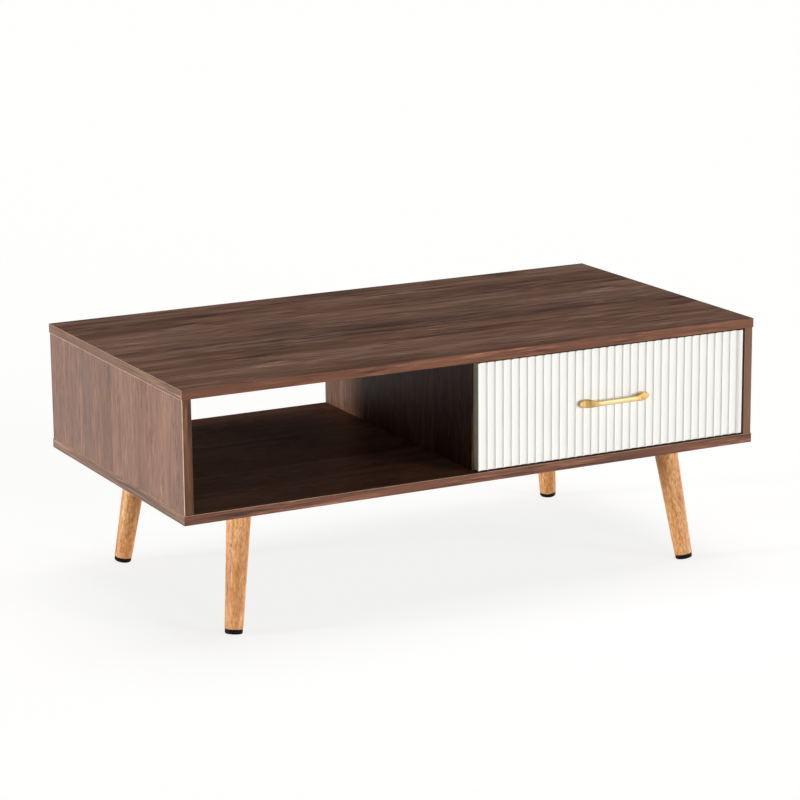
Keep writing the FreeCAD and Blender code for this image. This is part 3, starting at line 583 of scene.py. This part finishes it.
pad_plastic = moulded_plastic("moulded_polypropylene", "#0c0b0b")
countersunk = {"Face Radius": 0.0034, "Seat Radius": 0.00175, "Head Depth": 0.002, "Shank Radius": 0.00175,
               "Length": 0.0148, "Slot Reach": 0.0038, "Slot Width": 0.0009, "Slot Depth": 0.0011,
               "Sides": screw_sides, "Material": zinc_plate}
driven("plate_screws", "leg_plate_screws", "case", "zinc_steel", countersunk, lambda low, high: (0, 0, 1))
for corner in ("front_left", "front_right", "rear_left", "rear_right"):
    coat(zinc_plate, "leg_plate_" + corner)
    coat(pad_plastic, "foot_pad_" + corner)
coat(zinc_plate, "leg_bolts", "foot_nails")


# Slides: three channels of rolled, zinc-plated steel a side, running on two caged rows of steel balls each.
# The outer channel is screwed to the case, the inner one to the drawer's side.
ball_radius = 0.002
ball_sides = 16
roll_lines = (0.0009, 0.12, 0.0009)
roll_cloud = 0.03


def rolled_steel(name, colour, roughness):
    """Cold-rolled and zinc-plated strip: a cool grey metal with faint lengthwise lines from the rolls."""
    material, tree = new_finish(name)
    place = add(tree, "ShaderNodeTexCoord").outputs["Object"]
    line = drawn_pattern(tree, place, roll_lines, 3.0)
    cloud = add(tree, "ShaderNodeTexNoise", {"Vector": place, "Scale": 1 / roll_cloud, "Detail": 3.0})
    gloss = add(tree, "ShaderNodeMapRange", {0: line, **noise_span, 3: roughness - 0.08, 4: roughness + 0.1})
    ridges = add(tree, "ShaderNodeBump", {"Strength": 0.15, "Distance": bump_depth, "Height": line})
    return surfaced(material, {"Metallic": 1.0, "Roughness": gloss, "Normal": ridges,
                               "Base Color": varied_colour(tree, cloud, 0.88, 1.05, linear(colour))})


slide_strip = rolled_steel("zinc_plated_strip_steel", "#aeb3b8", 0.32)
bearing_steel = plated_metal("polished_bearing_steel", "#c6c9cd", 0.14, 0.004)
for channel in ("slide_outer_", "slide_middle_", "slide_inner_", "outer_ball_cage_", "inner_ball_cage_"):
    coat(slide_strip, channel + "left", channel + "right")


def ball_row():
    """Node tree of bearing balls, one on each point."""
    tree, given = new_tree("bearing_balls", ("Radius",), "Sides")
    half = add(tree, "ShaderNodeMath", {0: given["Sides"], 1: 0.5}, operation="MULTIPLY")
    ball = add(tree, "GeometryNodeMeshUVSphere",
               {"Segments": given["Sides"], "Rings": half, "Radius": given["Radius"]})
    round_ball = add(tree, "GeometryNodeSetShadeSmooth", {"Geometry": ball})
    placed = add(tree, "GeometryNodeInstanceOnPoints", {"Points": given["Geometry"], "Instance": round_ball})
    finish_tree(tree, placed, given["Material"])
    return tree


ball_tree = ball_row()
ball_sizes = {"Radius": ball_radius, "Sides": ball_sides, "Material": bearing_steel}
for name, node, body in (("outer_balls", "outer_slide_balls", "outer_cages"),
                         ("inner_balls", "inner_slide_balls", "inner_cages")):
    middles = [(low + high) / 2 for low, high in solid_boxes(node)]
    mounted(name, grown(name, ball_tree, ball_sizes, middles), body, "bearing_steel", node)
bay_middle = (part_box("slide_outer_left")[0].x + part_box("slide_outer_right")[1].x) / 2


def outward(low, high):
    """Away from the middle of the drawer's bay: screws into the case, and cams into the drawer's sides."""
    return (-1, 0, 0) if low.x < bay_middle else (1, 0, 0)


def inward(low, high):
    """Towards the middle of the bay: screws that go into the drawer from outside its sides."""
    return (1, 0, 0) if low.x < bay_middle else (-1, 0, 0)


channel_screw = {**countersunk, "Head Depth": 0.0012, "Slot Depth": 0.0009}
driven("slide_case_screws", "slide_outer_screws", "case", "zinc_steel",
       {**channel_screw, "Length": 0.014}, outward)
driven("slide_drawer_screws", "slide_inner_screws", "drawer", "zinc_steel",
       {**channel_screw, "Length": 0.011}, inward)


# Drawer box: two sides and a back of 12 mm walnut-print board, joined to the front by cams and at the back
# by screws. A thin printed hardboard bottom slides into grooves and is screwed up into the back.
drawer_edge_round = 0.0005
drawer_bottom_round = 0.0002
for name, node, grain, shift, edge_round in (
        ("drawer_left_board", "drawer_left_side", 1, (9.0, 3.3), drawer_edge_round),
        ("drawer_right_board", "drawer_right_side", 1, (12.0, 6.1), drawer_edge_round),
        ("drawer_back_board", "drawer_back", 0, (15.0, 2.2), drawer_edge_round),
        ("drawer_bottom_board", "drawer_bottom", 1, (18.0, 8.5), drawer_bottom_round)):
    board(name, node, "drawer", grain, shift, edge_round, quiet_face, walnut_band, faint_trim, (0, 0, 1))
drawer_cam_sizes = {**case_cam_sizes, "Face Radius": 0.006, "Seat Radius": 0.006, "Head Depth": 0.009,
                    "Length": 0.006, "Slot Reach": 0.0064, "Slot Depth": 0.0014}
driven("drawer_cams", "drawer_cam_nuts", "drawer", "cam_zinc", drawer_cam_sizes, outward)
driven("drawer_screws", "drawer_back_screws", "drawer", "zinc_steel",
       {**countersunk, "Head Depth": 0.0024, "Length": 0.038}, inward)
driven("bottom_screws", "drawer_bottom_screws", "drawer", "zinc_steel",
       {**countersunk, "Seat Radius": 0.0034, "Head Depth": 0.0018, "Length": 0.0158},
       lambda low, high: (0, 0, 1))
coat(zinc_plate, "drawer_cam_bolts")


# Drawer front: MDF with hollow flutes milled upright between narrow ridges, pressed over in warm white foil.
# Its cut ends are only sealed, and the brown of its top and bottom ends also stands as painted shade in the
# gaps above and below it. It closes just inside the case's front, and laps over most of the divider.
flute_pitch = 0.0144
flute_ridge = 0.001
flute_first_ridge = 0.0165
flute_wall_radius = 0.0042
flute_wall_slope = math.radians(60)
flute_floor_slope = math.radians(5)
flute_steps = 6
front_round = 0.0006
front_crease = 60
foil_peel = 0.003
foil_cloud = 0.06
fibre_size = 0.0012
seal_cloud = 0.018


def white_foil(name, colour):
    """Vacuum-pressed PVC foil, warm white and satin, with the faint orange peel of pressed foil."""
    material, tree = new_finish(name)
    place = add(tree, "ShaderNodeTexCoord").outputs["Object"]
    peel = add(tree, "ShaderNodeTexNoise", {"Vector": place, "Scale": 1 / foil_peel, "Detail": 2.0})
    cloud = add(tree, "ShaderNodeTexNoise", {"Vector": place, "Scale": 1 / foil_cloud, "Detail": 2.0})
    gloss = add(tree, "ShaderNodeMapRange", {0: peel, **noise_span, 3: 0.36, 4: 0.44})
    relief = add(tree, "ShaderNodeBump", {"Strength": 0.1, "Distance": bump_depth, "Height": peel})
    return surfaced(material, {"IOR": 1.52, "Roughness": gloss, "Normal": relief,
                               "Base Color": varied_colour(tree, cloud, 0.985, 1.0, linear(colour))})


def sealed_fibreboard(name, colour):
    """Cut MDF under a thin sealer: matt, with the fine felted fibre of pressed board and cloudy patches
    where the sealer soaked in."""
    material, tree = new_finish(name)
    place = add(tree, "ShaderNodeTexCoord").outputs["Object"]
    fibre = add(tree, "ShaderNodeTexNoise", {"Vector": place, "Scale": 1 / fibre_size, "Detail": 3.0})
    cloud = add(tree, "ShaderNodeTexNoise", {"Vector": place, "Scale": 1 / seal_cloud, "Detail": 2.0})
    both = add(tree, "ShaderNodeMath", {0: fibre, 1: cloud}, operation="ADD")
    soaked = varied_colour(tree, both, 0.84, 1.08, linear(colour), {1: 0.7, 2: 1.3})
    felt = add(tree, "ShaderNodeBump", {"Strength": 0.3, "Distance": bump_depth, "Height": fibre})
    return surfaced(material, {"Roughness": 0.7, "Base Color": soaked, "Normal": felt})


front_foil = white_foil("white_pressed_foil", "#f7f6f1")
front_ends = sealed_fibreboard("sealed_fibreboard_end", "#e4e2cc")
# Brown of the cut top and bottom ends: the colour of raw board, and also painted shade for the gaps above
# and below the front.
cut_ends_and_gap_shade = sealed_fibreboard("sealed_fibreboard_cut_and_gap_shade", "#86674a")


def fluted_board():
    """Node tree of the fluted front. It is given the line of one flute, repeats it at the pitch, runs the
    row out to both ends, draws it back to the rear face and raises it, with a station near each end."""
    tree, given = new_tree("fluted_front", ("Left", "Right", "Face", "Back", "Low", "High", "Pitch",
                                            "First Ridge", "Round"), "Flutes")
    half = add(tree, "ShaderNodeMath", {0: given["Pitch"], 1: 0.5, 2: given["First Ridge"]},
               operation="MULTIPLY_ADD")
    first = add(tree, "ShaderNodeCombineXYZ", {"X": half, "Y": given["Face"], "Z": given["Low"]})
    step = add(tree, "ShaderNodeCombineXYZ", {"X": given["Pitch"]})
    row = add(tree, "GeometryNodeMeshLine",
              {"Count": given["Flutes"], "Start Location": first, "Offset": step})
    placed = add(tree, "GeometryNodeInstanceOnPoints", {"Points": row, "Instance": given["Geometry"]})
    flutes = add(tree, "GeometryNodeRealizeInstances", {"Geometry": placed})
    last = add(tree, "ShaderNodeMath", {0: given["Flutes"], 1: given["Pitch"], 2: given["First Ridge"]},
               operation="MULTIPLY_ADD")
    line = add(tree, "GeometryNodeJoinGeometry", {0: flutes})
    for near, far in ((given["Left"], given["First Ridge"]), (last, given["Right"])):
        near_end = add(tree, "ShaderNodeCombineXYZ", {"X": near, "Y": given["Face"], "Z": given["Low"]})
        far_end = add(tree, "ShaderNodeCombineXYZ", {"X": far, "Y": given["Face"], "Z": given["Low"]})
        land = add(tree, "GeometryNodeMeshLine", {"Count": 2, "Start Location": near_end, "Offset": far_end},
                   mode="END_POINTS")
        feed(tree, line, {0: land})
    outline = add(tree, "GeometryNodeMergeByDistance", {"Geometry": line, "Distance": touching})
    rearward = add(tree, "ShaderNodeCombineXYZ", {"Y": 1.0})
    upward = add(tree, "ShaderNodeCombineXYZ", {"Z": 1.0})
    drawn = add(tree, "GeometryNodeExtrudeMesh",
                {"Mesh": outline, "Offset": rearward, "Offset Scale": given["Round"]}, mode="EDGES").outputs
    at = add(tree, "ShaderNodeSeparateXYZ", {0: add(tree, "GeometryNodeInputPosition")}).outputs
    behind = add(tree, "ShaderNodeCombineXYZ", {"X": at["X"], "Y": given["Back"], "Z": at["Z"]})
    base = add(tree, "GeometryNodeSetPosition",
               {"Geometry": drawn["Mesh"], "Selection": drawn["Top"], "Position": behind})
    rise = add(tree, "ShaderNodeMath", {0: given["High"], 1: given["Low"]}, operation="SUBTRACT")
    straight = add(tree, "ShaderNodeMath", {0: given["Round"], 1: -2.0, 2: rise}, operation="MULTIPLY_ADD")
    raised = {"Mesh": base}
    for height in (given["Round"], straight, given["Round"]):
        storey = add(tree, "GeometryNodeExtrudeMesh",
                     {**raised, "Offset": upward, "Offset Scale": height, "Individual": False},
                     mode="FACES").outputs
        raised = {"Mesh": storey["Mesh"], "Selection": storey["Top"]}
    under = add(tree, "GeometryNodeFlipFaces", {"Mesh": base})
    whole = add(tree, "GeometryNodeJoinGeometry", {0: raised["Mesh"]})
    feed(tree, whole, {0: under})
    closed = add(tree, "GeometryNodeMergeByDistance", {"Geometry": whole, "Distance": touching})
    finish_tree(tree, closed, given["Material"])
    return tree


floor_run = ((flute_pitch - flute_ridge) / 2
             - flute_wall_radius * (math.sin(flute_wall_slope) - math.sin(flute_floor_slope)))
floor_radius = floor_run / math.sin(flute_floor_slope)
flute_depth = (floor_radius * (1 - math.cos(flute_floor_slope))
               + flute_wall_radius * (math.cos(flute_floor_slope) - math.cos(flute_wall_slope)))
slopes = [flute_floor_slope * step / flute_steps for step in range(flute_steps)]
slopes += [flute_floor_slope + (flute_wall_slope - flute_floor_slope) * step / flute_steps
           for step in range(flute_steps + 1)]
half_flute = []
for slope in slopes:
    in_floor = min(slope, flute_floor_slope)
    reach = floor_radius * math.sin(in_floor) + flute_wall_radius * (math.sin(slope) - math.sin(in_floor))
    rise = (floor_radius * (1 - math.cos(in_floor))
            + flute_wall_radius * (math.cos(in_floor) - math.cos(slope)))
    half_flute.append((reach, flute_depth - rise, 0.0))
half_flute.append((flute_pitch / 2, 0.0, 0.0))
one_flute = [(-reach, depth, level) for reach, depth, level in reversed(half_flute[1:])] + half_flute
front_low, front_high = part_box("drawer_front")
left_ridge = front_low.x + flute_first_ridge - flute_pitch
front_sizes = {"Left": front_low.x, "Right": front_high.x, "Face": front_low.y, "Back": front_high.y,
               "Low": front_low.z, "High": front_high.z, "Pitch": flute_pitch, "First Ridge": left_ridge,
               "Flutes": int((front_high.x - left_ridge) // flute_pitch), "Round": front_round,
               "Material": front_foil}
front_mesh = grown("fluted_front", fluted_board(), front_sizes, one_flute,
                   links=[(start, start + 1) for start in range(len(one_flute) - 1)])
front_mesh.materials.append(front_ends)
front_mesh.materials.append(cut_ends_and_gap_shade)
front_shape = bmesh.new()
front_shape.from_mesh(front_mesh)
bmesh.ops.recalc_face_normals(front_shape, faces=front_shape.faces)
bmesh.ops.dissolve_limit(front_shape, angle_limit=math.radians(0.1), verts=front_shape.verts,
                         edges=front_shape.edges)
for vert in front_shape.verts:
    at_end = min(vert.co.z - front_low.z, front_high.z - vert.co.z) < touching
    if at_end and vert.co.y < front_high.y - front_round:
        vert.co.y += front_round
end_edges = [edge for edge in front_shape.edges
             if all(vert.co.y < front_low.y + 2 * front_round for vert in edge.verts)
             and any(all(abs(vert.co.x - end) < touching for vert in edge.verts)
                     for end in (front_low.x, front_high.x))]
bmesh.ops.bevel(front_shape, geom=end_edges, offset=front_round, offset_type="OFFSET", segments=3,
                profile=0.5, affect="EDGES", clamp_overlap=True)
front_shape.normal_update()
for face in front_shape.faces:
    # Top and bottom ends take the brown cut finish, which is partly painted shade for the gaps above and
    # below the front; the left and right ends take the pale sealed finish.
    face.material_index = 2 if abs(face.normal.z) > 0.9 else int(abs(face.normal.x) > 0.95)
front_shape.to_mesh(front_mesh)
front_shape.free()
mounted("fluted_front", smoothed(front_mesh, front_crease), "drawer", "white_front", "drawer_front")


# Handle: a cast zinc strap plated in brushed brass. It rises from two solid, leaf-shaped feet in a long S
# to a straight bar. A post under each foot stands in a seat milled in the front, and a screw from behind
# holds it there.
strap_half_bar = 0.031
strap_half_length = 0.064
strap_thickness = 0.0045
strap_reach = 0.016
bar_half_height = 0.004
leaf_half_height = 0.0065
leaf_widest = 0.0515
post_radius = 0.0038
post_place = 0.048
post_reach = 0.004
foot_height_share = 0.93
strap_sides = 32
strap_squareness = 3.2
bar_steps = 8
bend_steps = 12
leaf_steps = 32
leaf_crowding = 1.35
tip_length = 0.002
tip_thinning = 0.75
handle_crease = 40
leaf_edge = (0.030, 0.039)
bar_lines = (0.02, 0.0008, 0.0005)
leaf_lines = (0.0030, 0.0030, 0.012)
handle_low, handle_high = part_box("drawer_handle")
handle_middle = (handle_low + handle_high) / 2


def brushed_brass(name, bar_colour, leaf_colour):
    """Brass plating brushed along the bar and across the leaves. It gives the eye a pale yellow metal with
    drawn-out reflections on the bar, and a deeper, duller gold with short lines on the leaves. Real brush
    lines are too fine to show, so those on the leaves are drawn 3 mm wide."""
    material, tree = new_finish(name)
    place = add(tree, "ShaderNodeTexCoord").outputs["Object"]
    along = add(tree, "ShaderNodeSeparateXYZ", {0: place}).outputs["X"]
    off = add(tree, "ShaderNodeMath", {0: along, 1: handle_middle.x}, operation="SUBTRACT")
    far = add(tree, "ShaderNodeMath", {0: off}, operation="ABSOLUTE")
    leaf = add(tree, "ShaderNodeMapRange", {0: far, 1: leaf_edge[0], 2: leaf_edge[1]},
               interpolation_type="SMOOTHSTEP")
    bar_line = drawn_pattern(tree, place, bar_lines, 3.0)
    leaf_line = drawn_pattern(tree, place, leaf_lines, 2.0)
    line = add(tree, "ShaderNodeMix", {0: leaf, 2: bar_line, 3: leaf_line})
    hue = add(tree, "ShaderNodeMix", {0: leaf, 6: linear(bar_colour), 7: linear(leaf_colour)},
              data_type="RGBA").outputs[2]
    depth = add(tree, "ShaderNodeMapRange", {0: leaf, 3: 0.88, 4: 0.60})
    gloss = add(tree, "ShaderNodeMapRange", {0: line, **noise_span, 3: 0.48, 4: 0.62})
    relief = add(tree, "ShaderNodeBump", {"Strength": 0.2, "Distance": bump_depth, "Height": line})
    return surfaced(material, {"Metallic": 1.0, "Roughness": gloss, "Normal": relief,
                               "Base Color": varied_colour(tree, line, depth, 1.06, hue)})


handle_brass = brushed_brass("brushed_brass_plate", "#d3bb8a", "#dfb978")
strap_run = strap_half_length - strap_half_bar
strap_rise = strap_reach - strap_thickness
strap_radius = (strap_run ** 2 + strap_rise ** 2) / (4 * strap_rise)
strap_angle = 2 * math.atan2(strap_rise, strap_run)


def strap_half_height(along):
    """Half the strap's height as seen from the front: straight bar, swelling leaf, rounded tip."""
    if along <= strap_half_bar:
        return bar_half_height
    if along <= leaf_widest:
        swell = (along - strap_half_bar) / (leaf_widest - strap_half_bar)
        widened = 0.5 - 0.5 * math.cos(math.pi * swell)
        return bar_half_height + (leaf_half_height - bar_half_height) * widened
    share = (along - leaf_widest) / (strap_half_length - leaf_widest)
    return leaf_half_height * math.sqrt(max(1 - share ** 2, 1e-6))


half_strap = [(strap_half_bar * step / bar_steps, strap_reach - strap_thickness / 2, 0.0)
              for step in range(bar_steps)]
for step in range(bend_steps + 1):
    slope = strap_angle * step / bend_steps
    half_strap.append((strap_half_bar + strap_radius * math.sin(slope),
                       strap_rise + strap_thickness / 2 - strap_radius * (1 - math.cos(slope)), slope))
for step in range(1, leaf_steps + 1):
    slope = strap_angle * (1 - step / leaf_steps) ** leaf_crowding
    half_strap.append((strap_half_length - strap_radius * math.sin(slope),
                       strap_thickness / 2 + strap_radius * (1 - math.cos(slope)), slope))
stations = [(-along, out, -slope) for along, out, slope in reversed(half_strap[1:])] + half_strap
strap = bmesh.new()
strap_rings = []
for along, out, slope in stations:
    tip = max(0.0, (abs(along) - strap_half_length + tip_length) / tip_length)
    thickness = strap_thickness / 2 * math.sqrt(1 - tip_thinning * tip ** 2)
    height = strap_half_height(abs(along))
    ring = []
    for side in range(strap_sides):
        angle = 2 * math.pi * side / strap_sides
        corner = 2 / strap_squareness
        up = height * math.copysign(abs(math.cos(angle)) ** corner, math.cos(angle))
        off = thickness * math.copysign(abs(math.sin(angle)) ** corner, math.sin(angle))
        spot = (handle_middle.x + along + off * math.sin(slope),
                front_low.y - out - off * math.cos(slope), handle_middle.z + up)
        ring.append(strap.verts.new(spot))
    strap_rings.append(ring)
skinned(strap, strap_rings)
posts = bmesh.new()
feet = bmesh.new()
post_front = front_low.y - post_reach
for end in (-1, 1):
    foot = Vector((handle_middle.x + end * post_place, (handle_high.y + post_front) / 2, handle_middle.z))
    bmesh.ops.create_cone(posts, cap_ends=True, segments=strap_sides, radius1=post_radius,
                          radius2=post_radius, depth=handle_high.y - post_front,
                          matrix=Matrix.Translation(foot) @ Matrix.Rotation(math.pi / 2, 4, "X"))
    foot_rings = []
    for along, out, slope in half_strap:
        height = strap_half_height(along)
        if along < post_place - post_radius or height < strap_thickness / 2:
            continue
        foot_rings.append([feet.verts.new((handle_middle.x + end * along, front_low.y - level,
                                           handle_middle.z + foot_height_share * height * up))
                           for level, up in ((0.0, -1), (out, -1), (out, 1), (0.0, 1))])
    skinned(feet, foot_rings)
blanks = [in_scene("strap_blank", plain_mesh("strap_handle", strap))]
for name, shape in (("handle_posts", posts), ("handle_feet", feet)):
    blanks.append(in_scene(name, plain_mesh(name, shape)))
    union = blanks[0].modifiers.new(name, "BOOLEAN")
    union.operation = "UNION"
    union.solver = "EXACT"
    union.object = blanks[-1]
strap_seen = blanks[0].evaluated_get(bpy.context.evaluated_depsgraph_get())
handle_mesh = bpy.data.meshes.new_from_object(strap_seen)
for blank in blanks:
    bpy.data.objects.remove(blank)
handle_mesh.materials.clear()
handle_mesh.materials.append(handle_brass)
mounted("strap_handle", smoothed(handle_mesh, handle_crease), "drawer", "handle_brass", "drawer_handle")
driven("handle_screw_heads", "handle_screws", "drawer", "zinc_steel",
       {"Face Radius": 0.0037, "Seat Radius": 0.0039, "Head Depth": 0.0024, "Shank Radius": 0.002,
        "Length": 0.0241, "Slot Reach": 0.0046, "Slot Width": 0.0010, "Slot Depth": 0.0011,
        "Sides": screw_sides, "Material": zinc_plate}, lambda low, high: (0, -1, 0))


# Studio: a pale floor that keeps the table's soft shadow, five broad soft lights and dim surroundings, seen
# by a long lens from the front left and a little above.
floor_half = 60.0
floor_drop = 0.0002
floor_colour = "#acaaa8"
floor_seen_colour = "#8f8e8c"
floor_glow = 0.80
room_level = 0.055
soft_lights = (("left_light", (-1.0, 0.22, 0.08), 1.09, 10.0),
               ("key_light", (0.57, -0.81, 0.14), 0.60, 20.0),
               ("right_light", (1.0, 0.03, 0.10), 0.45, 20.0),
               ("front_light", (-0.05, -1.0, 0.19), 0.312, 20.0),
               ("top_light", (0.15, 0.10, 1.0), 0.40, 45.0))
camera_place = Vector((-2.1266, -4.0464, 1.3895))
camera_azimuth = math.radians(-27.648)
camera_elevation = math.radians(13.753)
camera_roll = math.radians(-0.499)
camera_lens = 131.28
camera_sensor = 36.0

floor_mesh = bpy.data.meshes.new("floor")
floor_mesh.from_pydata([(x * floor_half, y * floor_half, -floor_drop)
                        for x, y in ((-1, -1), (1, -1), (1, 1), (-1, 1))], [], [(0, 1, 2, 3)])
floor_paint, tree = new_finish("matt_studio_floor")
tree.nodes.clear()
path = add(tree, "ShaderNodeLightPath").outputs
seen = add(tree, "ShaderNodeMath", {0: path["Is Camera Ray"], 1: path["Is Glossy Ray"]}, operation="MAXIMUM")
seen = add(tree, "ShaderNodeMath", {0: seen, 1: path["Is Transmission Ray"]}, operation="MAXIMUM")
matt = add(tree, "ShaderNodeBsdfDiffuse", {"Color": linear(floor_colour)})
dim_matt = add(tree, "ShaderNodeBsdfDiffuse", {"Color": linear(floor_seen_colour)})
glow = add(tree, "ShaderNodeEmission", {"Color": linear("#ffffff"), "Strength": floor_glow})
pale = add(tree, "ShaderNodeAddShader", {0: dim_matt, 1: glow})
mixed = add(tree, "ShaderNodeMixShader", {0: seen, 1: matt, 2: pale})
add(tree, "ShaderNodeOutputMaterial", {"Surface": mixed})
floor_mesh.materials.append(floor_paint)
floor = in_scene("floor", floor_mesh)

room = bpy.data.worlds.new("studio_room")
room.use_nodes = True
room.node_tree.nodes["Background"].inputs["Color"].default_value = (room_level, room_level, room_level, 1.0)
bpy.context.scene.world = room
for name, source, level, width in soft_lights:
    lamp = bpy.data.lights.new(name, "SUN")
    lamp.energy = level * math.pi
    lamp.angle = math.radians(width)
    in_scene(name, lamp).rotation_euler = Vector(source).to_track_quat("Z", "Y").to_euler()

back = Vector((math.sin(camera_azimuth) * math.cos(camera_elevation),
               -math.cos(camera_azimuth) * math.cos(camera_elevation), math.sin(camera_elevation)))
level_right = Vector((0, 0, 1)).cross(back).normalized()
level_up = back.cross(level_right)
right = math.cos(camera_roll) * level_right + math.sin(camera_roll) * level_up
up = math.cos(camera_roll) * level_up - math.sin(camera_roll) * level_right
view = bpy.data.cameras.new("photo_view")
view.lens = camera_lens
view.sensor_width = camera_sensor
view.sensor_fit = "HORIZONTAL"
camera = in_scene("photo_view", view)
camera.matrix_world = Matrix.Translation(camera_place) @ Matrix((right, up, back)).transposed().to_4x4()
bpy.context.scene.camera = camera
bpy.context.scene.view_settings.view_transform = "Standard"
